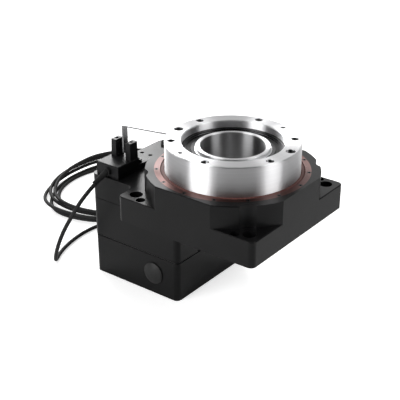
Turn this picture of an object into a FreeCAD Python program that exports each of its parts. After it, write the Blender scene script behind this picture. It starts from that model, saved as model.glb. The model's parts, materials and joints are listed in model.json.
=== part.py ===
import FreeCAD, Part
import Sketcher
import math
import os

V = FreeCAD.Vector
doc = FreeCAD.newDocument("HollowRotaryPlatform")

# Driving sizes, all in millimetres or degrees
SIZES = {
    "frame_side": 85.0,
    "frame_corner": 3.0,
    "lug_top": 14.0,
    "house_top": 26.5,
    "drum_proud": 3.3,
    "arm_corner": 3.0,
    "arm_fillet": 4.2,
    "edge_break": 0.4,
    "mount_inset": 6.9,
    "mount_bore": 7.0,
    "relief_bore": 12.8,
    "tap_step": 6.0,
    "tap_inset": 3.3,
    "tap_bore": 5.0,
    "tap_depth": 10.0,
    "spare_tap_pitch": 6.2,
    "spare_tap_inset": 3.7,
    "spare_tap_y": 7.9,
    "spare_tap_bore": 2.5,
    "spare_tap_depth": 6.0,
    "well_wall": 4.9,
    "well_top": 12.0,
    "ledge_width": 1.6,
    "bearing_base": 14.0,
    "bearing_height": 10.5,
    "bearing_wall": 4.0,
    "bearing_width": 10.0,
    "roller_bore": 5.0,
    "roller_length": 4.7,
    "roller_play": 0.05,
    "roller_count": 36,
    "ring_split_gap": 1.0,
    "ring_wall": 1.7,
    "ring_width": 3.2,
    "ring_depth": 2.0,
    "ring_screw_inset": 1.25,
    "ring_screw_count": 15,
    "ring_screw_phase": 4.5,
    "ring_screw_head": 2.2,
    "ring_screw_shank": 1.5,
    "ring_screw_length": 7.0,
    "seal_gap": 0.2,
    "seal_height": 1.8,
    "cover_margin": 5.0,
    "cover_inset": 2.0,
    "cover_depth": 2.5,
    "cover_screw_inset": 3.0,
    "cover_screw_spread": 11.0,
    "cover_screw_shank": 2.5,
    "cover_screw_head": 4.4,
    "cover_screw_length": 8.0,
    "sleeve_wall": 6.0,
    "sleeve_lip_step": 1.2,
    "sleeve_shoulder": 1.6,
    "sleeve_top": 39.2,
    "sleeve_flange_reach": 10.0,
    "sleeve_flange_depth": 2.4,
    "sleeve_screw_inset": 2.3,
    "sleeve_screw_shank": 2.0,
    "sleeve_screw_head": 3.6,
    "thin_bearing_base": 30.4,
    "thin_bearing_width": 7.0,
    "thin_bearing_step": 4.0,
    "thin_bearing_section": 12.0,
    "thin_race_wall": 3.6,
    "thin_seal_depth": 0.7,
    "thin_seal_inset": 0.35,
    "race_play": 0.15,
    "table_gap": 2.3,
    "table_top": 42.0,
    "table_recess_step": 5.6,
    "table_recess_depth": 4.4,
    "table_hub_wall": 4.5,
    "table_foot_gap": 0.4,
    "table_foot_step": 2.1,
    "hub_end": 11.5,
    "table_edge": 0.5,
    "table_hole_inset": 3.5,
    "table_hole_phase": 40.0,
    "table_hole_bore": 4.2,
    "table_hole_depth": 11.0,
    "dowel_hole_bore": 5.0,
    "dowel_hole_depth": 6.0,
    "pilot_hole_bore": 2.8,
    "pilot_hole_depth": 5.0,
    "dowel_phase": 10.0,
    "pilot_phase": 70.0,
    "gear_tip_gap": 0.8,
    "gear_teeth": 90,
    "pinion_teeth": 18,
    "gear_base": 3.5,
    "gear_backlash": 0.12,
    "gear_rim_depth": 5.5,
    "gear_web_base": 8.0,
    "gear_collar_width": 3.5,
    "gear_screw_shank": 2.5,
    "gear_screw_head": 4.5,
    "gear_screw_head_height": 2.5,
    "gear_screw_length": 9.0,
    "block_side": 59.2,
    "block_joint": 23.1,
    "block_bottom": 46.3,
    "lower_step": 0.2,
    "lower_chamfer": 0.5,
    "upper_chamfer": 0.4,
    "block_corner": 3.0,
    "block_scallop_gap": 1.0,
    "shaft_bore_clear": 5.8,
    "small_bearing_outer": 16.0,
    "small_bearing_bore": 8.0,
    "small_bearing_width": 5.0,
    "small_bearing_top": 3.0,
    "small_bearing_low": 17.0,
    "small_race_inner": 10.8,
    "small_race_outer": 13.2,
    "shaft_shoulder": 9.6,
    "coupling_radius": 9.0,
    "coupling_top": 24.3,
    "coupling_bottom": 42.0,
    "motor_shaft_bore": 8.0,
    "coupling_slit": 1.2,
    "collar_radius": 17.0,
    "collar_top": 30.2,
    "collar_bottom": 41.2,
    "clamp_screw_offset": 12.8,
    "clamp_screw_level": 33.9,
    "clamp_screw_shank": 4.0,
    "clamp_screw_head": 6.0,
    "clamp_screw_head_height": 3.4,
    "clamp_head_seat": 5.0,
    "clamp_screw_length": 13.5,
    "cavity_radius": 18.4,
    "pilot_bore": 38.1,
    "pilot_depth": 2.5,
    "motor_bolt_pitch": 47.14,
    "motor_bolt_bore": 4.2,
    "motor_bolt_depth": 15.0,
    "long_screw_x": 25.3,
    "long_screw_y": 12.0,
    "side_screw_x": 3.0,
    "side_screw_y": 25.0,
    "block_screw_shank": 4.0,
    "block_screw_head": 7.0,
    "block_screw_head_height": 4.0,
    "block_screw_bite": 9.0,
    "short_screw_bite": 12.0,
    "screw_clear": 0.2,
    "plug_bore": 11.4,
    "plug_head": 12.4,
    "plug_dome": 2.2,
    "plug_rim": 0.6,
    "plug_depth": 5.0,
    "sensor_inset": 2.9,
    "sensor_length": 15.4,
    "sensor_front_inset": 1.3,
    "sensor_depth": 17.4,
    "sensor_height": 7.3,
    "sensor_ear_length": 6.0,
    "sensor_ear_height": 3.2,
    "sensor_ear_slot": 2.7,
    "sensor_slot_x": 3.5,
    "sensor_slot_depth": 4.6,
    "prong_width": 3.9,
    "prong_depth": 6.4,
    "prong_height": 9.9,
    "prong_inset_x": 1.3,
    "prong_gap": 6.3,
    "prong_front": 10.2,
    "prong_taper": 0.35,
    "window_depth": 0.5,
    "prong_pocket": 1.0,
    "exit_inset": 8.0,
    "exit_height": 3.2,
    "sensor_screw_head": 4.2,
    "sensor_screw_head_height": 1.6,
    "sensor_screw_shank": 2.4,
    "sensor_screw_bite": 6.0,
    "relief_collar": 4.6,
    "relief_collar_depth": 0.9,
    "relief_root": 3.5,
    "relief_length": 9.5,
    "cable_bore": 2.2,
    "flag_sheet": 0.8,
    "flag_width": 4.8,
    "flag_inset": 8.8,
    "flag_level": 39.0,
    "flag_bearing": 192.2,
    "flag_tab_low": 31.6,
    "flag_tab_from": 188.5,
    "flag_tab_to": 207.5,
    "flag_blade_low": 24.0,
    "flag_screw_bearing": 202.5,
    "flag_screw_level": 35.6,
    "flag_screw_head": 4.4,
    "flag_screw_head_height": 2.0,
    "flag_screw_shank": 2.4,
    "flag_screw_bite": 5.0,
    "flag_bend": 1.0,
    "coil_long": 59.2,
    "coil_short": 46.2,
    "coil_band": 10.6,
    "coil_height": 8.6,
    "coil_turn": 71.3,
    "coil_x": -127.2,
    "coil_y": 63.2,
    "lead_length": 12.0,
    "lead_bore": 0.7,
    "end_length": 16.0,
}

# Sizes that follow from the driving ones, worked out in the sheet
TIED = {
    "drum_radius": "frame_side/2+drum_proud",
    "mount_pitch": "frame_side-2*mount_inset",
    "well_radius": "frame_side/2-well_wall",
    "ledge_radius": "well_radius-ledge_width",
    "bearing_outer_radius": "frame_side/2-bearing_wall",
    "bearing_bore_radius": "bearing_outer_radius-bearing_width",
    "roller_pitch_radius": "bearing_outer_radius-bearing_width/2",
    "ring_radius": "frame_side/2-ring_wall",
    "ring_inner_radius": "ring_radius-ring_width",
    "ring_screw_circle": "ring_radius-ring_screw_inset",
    "cover_side": "frame_side-cover_margin",
    "cover_radius": "drum_radius-cover_inset",
    "cover_screw_circle": "cover_radius-cover_screw_inset",
    "table_radius": "ring_inner_radius-table_gap",
    "table_foot_radius": "table_radius-table_foot_step",
    "table_hub_bore": "2*(bearing_bore_radius-table_hub_wall)",
    "table_recess": "table_hub_bore+table_recess_step",
    "table_hole_circle": "table_radius-table_hole_inset",
    "thin_bearing_outer": "table_hub_bore+thin_bearing_step",
    "thin_race_outer": "thin_bearing_outer-thin_race_wall",
    "sleeve_seat": "thin_bearing_outer-thin_bearing_section",
    "thin_race_inner": "sleeve_seat+thin_race_wall",
    "sleeve_bore": "sleeve_seat-sleeve_wall",
    "sleeve_lip": "sleeve_seat-sleeve_lip_step",
    "sleeve_body": "sleeve_seat+sleeve_shoulder",
    "sleeve_flange": "sleeve_seat+sleeve_flange_reach",
    "sleeve_screw_circle": "sleeve_flange/2-sleeve_screw_inset",
    "gear_module": "(well_radius-gear_tip_gap)/(gear_teeth/2+1)",
    "gear_rim_radius": "gear_module*gear_teeth/2-gear_rim_depth",
    "gear_collar_radius": "bearing_bore_radius+gear_collar_width",
    "gear_screw_circle": "(bearing_bore_radius+table_hub_bore/2)/2",
    "gear_centres": "(gear_teeth+pinion_teeth)*gear_module/2",
    "pinion_well": "gear_module*(pinion_teeth/2+1)+gear_tip_gap",
    "arm_reach": "gear_centres+block_side/2",
    "arm_width": "block_side*1",
    "tap_x": "mount_pitch/2-tap_step",
    "tap_y": "frame_side/2-tap_inset",
    "spare_tap_far": "arm_reach-spare_tap_inset",
    "spare_tap_near": "spare_tap_far-spare_tap_pitch",
    "lower_side": "block_side-lower_step",
    "block_scallop": "sleeve_bore/2+block_scallop_gap",
    "sensor_left": "arm_reach-sensor_inset",
    "sensor_front": "arm_width/2-sensor_front_inset",
    "flag_reach": "arm_reach-flag_inset",
}

sheet = doc.addObject("Spreadsheet::Sheet", "Sizes")
CELLS = [(alias, repr(float(value))) for alias, value in SIZES.items()]
CELLS += [(alias, "=" + text) for alias, text in TIED.items()]
NAMES = [alias for alias, content in CELLS]
for row, (alias, content) in enumerate(CELLS, start=1):
    sheet.set("A%d" % row, alias)
    sheet.set("B%d" % row, content)
    sheet.setAlias("B%d" % row, alias)
doc.recompute()

parts = []


def size(alias):
    return float(sheet.get(alias))


def count(alias):
    return int(round(size(alias)))


def cell(text):
    # A formula in plain size names becomes one that reads the sheet
    out = ""
    word = ""
    for letter in text + " ":
        if letter.isalnum() or letter == "_":
            word += letter
            continue
        out += "Sizes." + word if word in NAMES else word
        out += letter
        word = ""
    return out.strip()


def number(text):
    return float(worked_out(text))


def worked_out(text):
    # Small reader for sums and products of size names and numbers
    tokens = []
    word = ""
    for letter in text + " ":
        if letter.isalnum() or letter in "_.":
            word += letter
            continue
        if word:
            tokens.append(size(word) if word in NAMES else float(word))
            word = ""
        if letter in "+-*/()":
            tokens.append(letter)

    def factor():
        token = tokens.pop(0)
        if token == "(":
            value = total()
            tokens.pop(0)
            return value
        if token == "-":
            return -factor()
        return token

    def product():
        value = factor()
        while tokens and tokens[0] in ("*", "/"):
            sign = tokens.pop(0)
            other = factor()
            value = value * other if sign == "*" else value / other
        return value

    def total():
        value = product()
        while tokens and tokens[0] in ("+", "-"):
            sign = tokens.pop(0)
            other = product()
            value = value + other if sign == "+" else value - other
        return value

    return total()


def named(obj, label):
    obj.Label = label
    parts.append(obj)
    return obj


def plane(body, role):
    for item in body.Origin.OriginFeatures:
        if item.Role == role:
            return item
    raise ValueError(role)


def pin(sketch, geometry, end, across, up):
    # Both coordinates of one end of a line are held to formulas
    for kind, text in (("DistanceX", across), ("DistanceY", up)):
        value = number(text)
        if abs(value) < 1e-9:
            axis = -2 if kind == "DistanceX" else -1
            sketch.addConstraint(Sketcher.Constraint("PointOnObject", geometry, end, axis))
        elif value > 0:
            where = sketch.addConstraint(
                Sketcher.Constraint(kind, -1, 1, geometry, end, value))
            sketch.setExpression("Constraints[%d]" % where, cell(text))
        else:
            where = sketch.addConstraint(
                Sketcher.Constraint(kind, geometry, end, -1, 1, -value))
            sketch.setExpression("Constraints[%d]" % where, cell("-(%s)" % text))


def outline(body, name, role, points, lift=None):
    # A closed outline of straight lines whose corners are formulas
    sketch = body.newObject("Sketcher::SketchObject", name)
    sketch.AttachmentSupport = [(plane(body, role), "")]
    sketch.MapMode = "FlatFace"
    if lift:
        sketch.setExpression("AttachmentOffset.Base.z", cell(lift))
    spots = [V(number(a), number(b), 0) for a, b in points]
    lines = [Part.LineSegment(spots[i], spots[(i + 1) % len(spots)])
             for i in range(len(spots))]
    sketch.addGeometry(lines, False)
    for i in range(len(spots)):
        follower = (i + 1) % len(spots)
        sketch.addConstraint(Sketcher.Constraint("Coincident", i, 2, follower, 1))
    for i, (across, up) in enumerate(points):
        pin(sketch, i, 1, across, up)
    return sketch


def circles(body, name, role, rounds, lift=None):
    # Circles given by formulas for centre and radius
    sketch = body.newObject("Sketcher::SketchObject", name)
    sketch.AttachmentSupport = [(plane(body, role), "")]
    sketch.MapMode = "FlatFace"
    if lift:
        sketch.setExpression("AttachmentOffset.Base.z", cell(lift))
    for across, up, radius in rounds:
        centre = V(number(across), number(up), 0)
        index = sketch.addGeometry(Part.Circle(centre, V(0, 0, 1), number(radius)), False)
        where = sketch.addConstraint(
            Sketcher.Constraint("Radius", index, number(radius)))
        sketch.setExpression("Constraints[%d]" % where, cell(radius))
        pin(sketch, index, 3, across, up)
    return sketch


def spun(body, name, points):
    # A ring or shaft turned about the upright axis
    sketch = outline(body, name + "Profile", "XZ_Plane", points)
    turn = body.newObject("PartDesign::Revolution", name)
    turn.Profile = sketch
    turn.ReferenceAxis = (sketch, ["V_Axis"])
    turn.Angle = 360
    return turn


def padded(body, name, sketch, length, down=False):
    pad = body.newObject("PartDesign::Pad", name)
    pad.Profile = sketch
    pad.setExpression("Length", cell(length))
    pad.Reversed = down
    return pad


def cut(body, name, sketch, length, up=False):
    # A pocket from the sketch, upward or downward, that has to take material
    before = body.Tip.Shape.Volume
    pocket = body.newObject("PartDesign::Pocket", name)
    pocket.Profile = sketch
    pocket.setExpression("Length", cell(length))
    pocket.Reversed = up
    doc.recompute()
    if body.Tip.Shape.Volume > before - 1e-3:
        raise RuntimeError(name + " takes nothing away")
    return pocket


def ring_of(body, name, feature, times, angle="360"):
    # Copies of a cut spaced evenly about the upright axis
    pattern = body.newObject("PartDesign::PolarPattern", name)
    pattern.Originals = [feature]
    for item in body.Origin.OriginFeatures:
        if item.Role == "Z_Axis":
            pattern.Axis = (item, [""])
    pattern.Angle = float(angle)
    pattern.setExpression("Occurrences", cell(times))
    body.Tip = pattern
    return pattern


def edges_where(shape, test):
    return ["Edge%d" % (i + 1) for i, edge in enumerate(shape.Edges) if test(edge)]


def upright(edge):
    if edge.Curve.TypeId != "Part::GeomLine":
        return False
    return abs(edge.tangentAt(edge.FirstParameter).z) > 0.999


def at_level(edge, level):
    box = edge.BoundBox
    return abs(box.ZMin - level) < 1e-4 and abs(box.ZMax - level) < 1e-4


def dressed(body, name, kind, names, formula):
    # Round or break the named edges of the body so far
    base = body.Tip
    feature = body.newObject("PartDesign::" + kind, name)
    feature.Base = (base, names)
    feature.setExpression("Radius" if kind == "Fillet" else "Size", cell(formula))
    return feature


def moved_up(obj, formula):
    obj.setExpression("Placement.Base.z", cell(formula))
    return obj


def rod(name, radius, height, x, y, z, turn=None):
    # A plain cylinder bound to formulas
    obj = doc.addObject("Part::Cylinder", name)
    if turn is not None:
        obj.Placement = FreeCAD.Placement(V(0, 0, 0), turn)
    obj.setExpression("Radius", cell(radius))
    obj.setExpression("Height", cell(height))
    obj.setExpression("Placement.Base.x", cell(x))
    obj.setExpression("Placement.Base.y", cell(y))
    obj.setExpression("Placement.Base.z", cell(z))
    return obj


def block(name, length, width, height, x, y, z):
    obj = doc.addObject("Part::Box", name)
    obj.setExpression("Length", cell(length))
    obj.setExpression("Width", cell(width))
    obj.setExpression("Height", cell(height))
    obj.setExpression("Placement.Base.x", cell(x))
    obj.setExpression("Placement.Base.y", cell(y))
    obj.setExpression("Placement.Base.z", cell(z))
    return obj


def joined(name, members):
    obj = doc.addObject("Part::MultiFuse", name)
    obj.Shapes = members
    return obj


def less(name, base, tool):
    obj = doc.addObject("Part::Cut", name)
    obj.Base = base
    obj.Tool = tool
    return obj


def solid_feature(label, shape, name):
    obj = doc.addObject("Part::Feature", name)
    obj.Shape = shape
    obj.Placement = shape.Placement
    return named(obj, label)


PINION_X = "gear_centres"


# Housing: square base plate, round drum and the arm that carries the motor block
def make_housing():
    body = doc.addObject("PartDesign::Body", "Housing")
    half = "frame_side/2"
    corner = [("-" + half, "-" + half), (half, "-" + half), (half, half), ("-" + half, half)]
    plate = outline(body, "PlateSketch", "XY_Plane", corner)
    padded(body, "Plate", plate, "lug_top")
    doc.recompute()
    names = edges_where(body.Tip.Shape, upright)
    dressed(body, "PlateCorners", "Fillet", names, "frame_corner")
    doc.recompute()
    arm = outline(body, "ArmSketch", "XY_Plane", [
        ("-arm_reach", "-arm_width/2"), ("0", "-arm_width/2"),
        ("0", "arm_width/2"), ("-arm_reach", "arm_width/2")])
    padded(body, "Arm", arm, "lug_top")
    doc.recompute()
    reach = size("arm_reach")
    names = edges_where(body.Tip.Shape, lambda e: upright(e)
                        and abs(e.BoundBox.XMin + reach) < 1e-4)
    dressed(body, "ArmCorners", "Fillet", names, "arm_corner")
    doc.recompute()
    side = size("frame_side") / 2
    wide = size("arm_width") / 2
    names = edges_where(body.Tip.Shape, lambda e: upright(e)
                        and abs(e.BoundBox.XMin + side) < 1e-4
                        and abs(abs(e.BoundBox.YMin) - wide) < 1e-4)
    dressed(body, "ArmRoots", "Fillet", names, "arm_fillet")
    doc.recompute()
    drum = circles(body, "DrumSketch", "XY_Plane", [("0", "0", "drum_radius")])
    padded(body, "Drum", drum, "house_top")
    doc.recompute()
    trim = body.newObject("Sketcher::SketchObject", "TrimSketch")
    trim.AttachmentSupport = [(plane(body, "XY_Plane"), "")]
    trim.MapMode = "FlatFace"
    trim.setExpression("AttachmentOffset.Base.z", cell("house_top"))
    wide = size("drum_radius") + 2
    for low, high in (((side, -wide), (wide, wide)), ((-wide, -wide), (-side, wide)),
                      ((-side, side), (side, wide)), ((-side, -wide), (side, -side))):
        spots = [V(low[0], low[1], 0), V(high[0], low[1], 0),
                 V(high[0], high[1], 0), V(low[0], high[1], 0)]
        start = trim.GeometryCount
        trim.addGeometry([Part.LineSegment(spots[i], spots[(i + 1) % 4])
                          for i in range(4)], False)
        for i in range(4):
            trim.addConstraint(Sketcher.Constraint(
                "Coincident", start + i, 2, start + (i + 1) % 4, 1))
    cut(body, "DrumFlats", trim, "house_top-lug_top")
    outside = outline(body, "UnderSketch", "XY_Plane", [
        ("-frame_side", "-frame_side"), ("frame_side", "-frame_side"),
        ("frame_side", "frame_side"), ("-frame_side", "frame_side")])
    half_plate = size("frame_side") / 2
    inner = [V(-size("arm_reach") - 1, -half_plate, 0), V(half_plate, -half_plate, 0),
             V(half_plate, half_plate, 0), V(-size("arm_reach") - 1, half_plate, 0)]
    start = outside.GeometryCount
    outside.addGeometry([Part.LineSegment(inner[i], inner[(i + 1) % 4])
                         for i in range(4)], False)
    cut(body, "DrumFoot", outside, "lug_top", up=True)
    well = circles(body, "WellSketch", "XY_Plane", [("0", "0", "well_radius")])
    cut(body, "GearWell", well, "well_top", up=True)
    pinion = circles(body, "PinionWellSketch", "XY_Plane",
                     [("-" + PINION_X, "0", "pinion_well")])
    cut(body, "PinionWell", pinion, "well_top", up=True)
    throat = circles(body, "ThroatSketch", "XY_Plane",
                     [("0", "0", "ledge_radius")], lift="house_top")
    cut(body, "Throat", throat, "house_top-well_top+0.1")
    seat = circles(body, "SeatSketch", "XY_Plane",
                   [("0", "0", "bearing_outer_radius")], lift="house_top")
    cut(body, "BearingSeat", seat, "house_top-bearing_base")
    rim = circles(body, "RimSketch", "XY_Plane",
                  [("0", "0", "ring_radius")], lift="house_top")
    cut(body, "RingSeat", rim, "ring_depth")
    cover = cover_outline(body, "CoverSeatSketch")
    cut(body, "CoverSeat", cover, "cover_depth", up=True)
    far = "mount_pitch/2"
    spots = [(a + far, b + far) for a in ("", "-") for b in ("", "-")]
    holes = circles(body, "MountSketch", "XY_Plane",
                    [(x, y, "mount_bore/2") for x, y in spots])
    cut(body, "MountHoles", holes, "lug_top", up=True)
    reliefs = circles(body, "ReliefSketch", "XY_Plane",
                      [(x, y, "relief_bore/2") for x, y in spots], lift="house_top")
    cut(body, "Reliefs", reliefs, "house_top-lug_top")
    taps = circles(body, "TapSketch", "XY_Plane",
                   [(a + "tap_x", b + "tap_y", "tap_bore/2")
                    for a in ("", "-") for b in ("", "-")], lift="lug_top")
    cut(body, "Taps", taps, "tap_depth")
    spare = circles(body, "SpareTapSketch", "XY_Plane",
                    [("-spare_tap_near", "spare_tap_y", "spare_tap_bore/2"),
                     ("-spare_tap_far", "spare_tap_y", "spare_tap_bore/2")], lift="lug_top")
    cut(body, "SpareTaps", spare, "spare_tap_depth")
    held = circles(body, "SensorTapSketch", "XY_Plane",
                   [(x, SENSOR_SCREW_Y, "sensor_screw_shank/2") for x in SENSOR_SCREWS],
                   lift="lug_top")
    cut(body, "SensorTaps", held, "sensor_screw_bite")
    bolts = circles(body, "BlockTapSketch", "XY_Plane",
                    [("-(%s)%s" % (PINION_X, x), y, "block_screw_shank/2")
                     for x, y in LONG_SCREWS])
    cut(body, "BlockTaps", bolts, "block_screw_bite", up=True)
    step = 360.0 / count("ring_screw_count")
    ring_holes = polar_holes(body, "RingTapSketch", "ring_screw_circle", "ring_screw_shank/2",
                             [size("ring_screw_phase") + step * i
                              for i in range(count("ring_screw_count"))],
                             "house_top-ring_depth")
    cut(body, "RingTaps", ring_holes, "ring_screw_length-ring_depth")
    cover_holes = polar_holes(body, "CoverTapSketch", "cover_screw_circle",
                              "cover_screw_shank/2", cover_angles(), "cover_depth")
    cut(body, "CoverTaps", cover_holes, "cover_screw_length-cover_depth", up=True)
    doc.recompute()
    top = size("house_top")
    rim = size("ring_radius")
    names = edges_where(body.Tip.Shape, lambda e: at_level(e, top)
                        and e.BoundBox.XMax - e.BoundBox.XMin > 4
                        and max(abs(e.BoundBox.XMin), abs(e.BoundBox.YMin)) > rim + 0.2)
    dressed(body, "TopBreak", "Chamfer", names, "edge_break")
    rim = doc.addObject("Part::Feature", "LugRim")
    rim.Shape = lug_rim()
    doc.recompute()
    return named(less("HousingBroken", body, rim), "housing")


def lug_rim():
    # Thin wedge around the lug tops, which breaks their outer edges
    half = size("frame_side") / 2
    level = size("lug_top")
    plate = Part.makeBox(2 * half, 2 * half, 2, V(-half, -half, level - 2))
    posts = [e for e in plate.Edges if e.BoundBox.ZMax - e.BoundBox.ZMin > 1]
    plate = plate.makeFillet(size("frame_corner"), posts)
    top = [e for e in plate.Edges if e.BoundBox.ZMin > level - 0.01]
    wedge = plate.cut(plate.makeChamfer(size("edge_break"), top))
    drum = Part.makeCylinder(size("drum_radius"), 4, V(0, 0, level - 3))
    wide = size("arm_width") / 2 + size("frame_corner")
    arm = Part.makeBox(half, 2 * wide, 4, V(-half - 1, -wide, level - 3))
    return wedge.cut(drum).cut(arm)


def cover_outline(body, name, lift=None):
    # A square with its corners cut round, the shape of the bottom cover
    sketch = body.newObject("Sketcher::SketchObject", name)
    sketch.AttachmentSupport = [(plane(body, "XY_Plane"), "")]
    sketch.MapMode = "FlatFace"
    if lift:
        sketch.setExpression("AttachmentOffset.Base.z", cell(lift))
    half = size("cover_side") / 2
    radius = size("cover_radius")
    reach = math.sqrt(radius * radius - half * half)
    corners = []
    for turn in range(4):
        angle = math.radians(90 * turn)
        for x, y in ((half, -reach), (half, reach)):
            corners.append(V(x * math.cos(angle) - y * math.sin(angle),
                             x * math.sin(angle) + y * math.cos(angle), 0))
    for turn in range(4):
        first, second = corners[2 * turn], corners[2 * turn + 1]
        third = corners[(2 * turn + 2) % 8]
        middle = V(second.x + third.x, second.y + third.y, 0)
        middle.normalize()
        middle.multiply(radius)
        sketch.addGeometry(Part.LineSegment(first, second), False)
        sketch.addGeometry(Part.Arc(second, middle, third), False)
    for turn in range(4):
        sketch.addConstraint(Sketcher.Constraint("Coincident", 2 * turn, 2, 2 * turn + 1, 1))
        sketch.addConstraint(Sketcher.Constraint(
            "Coincident", 2 * turn + 1, 2, (2 * turn + 2) % 8, 1))
    return sketch


def polar_holes(body, name, circle, radius, angles, lift=None):
    # Round holes on a bolt circle
    sketch = body.newObject("Sketcher::SketchObject", name)
    sketch.AttachmentSupport = [(plane(body, "XY_Plane"), "")]
    sketch.MapMode = "FlatFace"
    if lift:
        sketch.setExpression("AttachmentOffset.Base.z", cell(lift))
    for angle in angles:
        turn = math.radians(angle)
        centre = V(number(circle) * math.cos(turn), number(circle) * math.sin(turn), 0)
        index = sketch.addGeometry(Part.Circle(centre, V(0, 0, 1), number(radius)), False)
        where = sketch.addConstraint(Sketcher.Constraint("Radius", index, number(radius)))
        sketch.setExpression("Constraints[%d]" % where, cell(radius))
    return sketch


def cover_angles():
    spread = size("cover_screw_spread")
    return [45 + 90 * i + side * spread for i in range(4) for side in (-1, 1)]


def steps(times, phase=0.0):
    return [phase + 360.0 * i / times for i in range(times)]


SENSOR_SCREWS = ["-(sensor_left-sensor_slot_x)",
                 "-(sensor_left-sensor_length+sensor_slot_x)"]
SENSOR_SCREW_Y = "-(sensor_front-sensor_depth-sensor_ear_length+sensor_slot_depth-sensor_ear_slot/2)"
LONG_SCREWS = [("-long_screw_x", "long_screw_y"), ("-long_screw_x", "-long_screw_y"),
               ("+side_screw_x", "side_screw_y"), ("+side_screw_x", "-side_screw_y")]
SHORT_SCREWS = [("+long_screw_x", "long_screw_y"), ("+long_screw_x", "-long_screw_y")]


def make_bottom_cover():
    body = doc.addObject("PartDesign::Body", "BottomCover")
    sheet_outline = cover_outline(body, "CoverSketch")
    padded(body, "CoverPlate", sheet_outline, "cover_depth")
    doc.recompute()
    hole = circles(body, "CoverHoleSketch", "XY_Plane", [("0", "0", "sleeve_seat/2")])
    cut(body, "CoverHole", hole, "cover_depth", up=True)
    notch = circles(body, "CoverNotchSketch", "XY_Plane",
                    [("-" + PINION_X, "0", "pinion_well")])
    cut(body, "CoverNotch", notch, "cover_depth", up=True)
    for name, circle, shank, head, angles in (
            ("Rim", "cover_screw_circle", "cover_screw_shank", "cover_screw_head",
             cover_angles()),
            ("Hub", "sleeve_screw_circle", "sleeve_screw_shank", "sleeve_screw_head",
             steps(6, 30.0))):
        holes = polar_holes(body, name + "HoleSketch", circle, shank + "/2", angles)
        cut(body, name + "Holes", holes, "cover_depth", up=True)
        sinks = polar_holes(body, name + "SinkSketch", circle, head + "/2", angles)
        cut(body, name + "Sinks", sinks, "cover_depth/2", up=True)
    return named(body, "bottom_cover")


def screw_ring(label, circle, shank, head, head_height, length, angles, base, head_low=True):
    # Equal screws on a circle, heads down or heads up, one solid each
    made = []
    r = number(circle)
    for angle in angles:
        turn = math.radians(angle)
        x, y = r * math.cos(turn), r * math.sin(turn)
        z = number(base)
        high = number(head_height)
        if head_low:
            top = Part.makeCylinder(number(head) / 2, high, V(x, y, z))
            stem = Part.makeCylinder(number(shank) / 2, number(length) - high, V(x, y, z + high))
        else:
            top = Part.makeCylinder(number(head) / 2, high, V(x, y, z - high))
            stem = Part.makeCylinder(number(shank) / 2, number(length) - high,
                                     V(x, y, z - number(length)))
        socket_radius = number(head) * 0.26
        socket_depth = high * 0.55
        foot = V(x, y, z) if head_low else V(x, y, z - socket_depth)
        socket = hexagon(socket_radius, socket_depth, foot, angle)
        made.append(top.fuse(stem).cut(socket).removeSplitter())
    return solid_feature(label, Part.makeCompound(made), label.title().replace("_", ""))


def hexagon(radius, height, foot, angle=0.0):
    spots = [V(foot.x + radius * math.cos(math.radians(angle + 60 * i)),
               foot.y + radius * math.sin(math.radians(angle + 60 * i)), foot.z)
             for i in range(7)]
    return Part.Face(Part.makePolygon(spots)).extrude(V(0, 0, height))


def screw_at(x, y, z, shank, head, head_height, length, up=True):
    # One socket screw, its head low and its shank upward, or turned over
    high = number(head_height)
    sign = 1.0 if up else -1.0
    axis = V(0, 0, sign)
    top = Part.makeCylinder(number(head) / 2, high, V(x, y, z), axis)
    stem = Part.makeCylinder(number(shank) / 2, number(length) - high,
                             V(x, y, z + sign * high), axis)
    depth = high * 0.55
    foot = V(x, y, z) if up else V(x, y, z - depth)
    return top.fuse(stem).cut(hexagon(number(head) * 0.26, depth, foot)).removeSplitter()


def make_sleeve():
    # Fixed hollow sleeve that lines the bore
    body = doc.addObject("PartDesign::Body", "HollowSleeve")
    bearing_top = "thin_bearing_base+thin_bearing_width"
    spun(body, "Sleeve", [
        ("sleeve_bore/2", "0"),
        ("sleeve_seat/2", "0"),
        ("sleeve_seat/2", "cover_depth"),
        ("sleeve_flange/2", "cover_depth"),
        ("sleeve_flange/2", "cover_depth+sleeve_flange_depth"),
        ("sleeve_body/2", "cover_depth+sleeve_flange_depth"),
        ("sleeve_body/2", "thin_bearing_base"),
        ("sleeve_seat/2", "thin_bearing_base"),
        ("sleeve_seat/2", bearing_top),
        ("sleeve_lip/2", bearing_top),
        ("sleeve_lip/2", "sleeve_top-0.3"),
        ("sleeve_lip/2-0.3", "sleeve_top"),
        ("sleeve_bore/2+0.4", "sleeve_top"),
        ("sleeve_bore/2", "sleeve_top-0.4"),
    ])
    doc.recompute()
    holes = polar_holes(body, "FlangeTapSketch", "sleeve_screw_circle",
                        "sleeve_screw_shank/2", steps(6, 30.0), "cover_depth")
    cut(body, "FlangeTaps", holes, "sleeve_flange_depth", up=True)
    return named(body, "hollow_sleeve")


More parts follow.
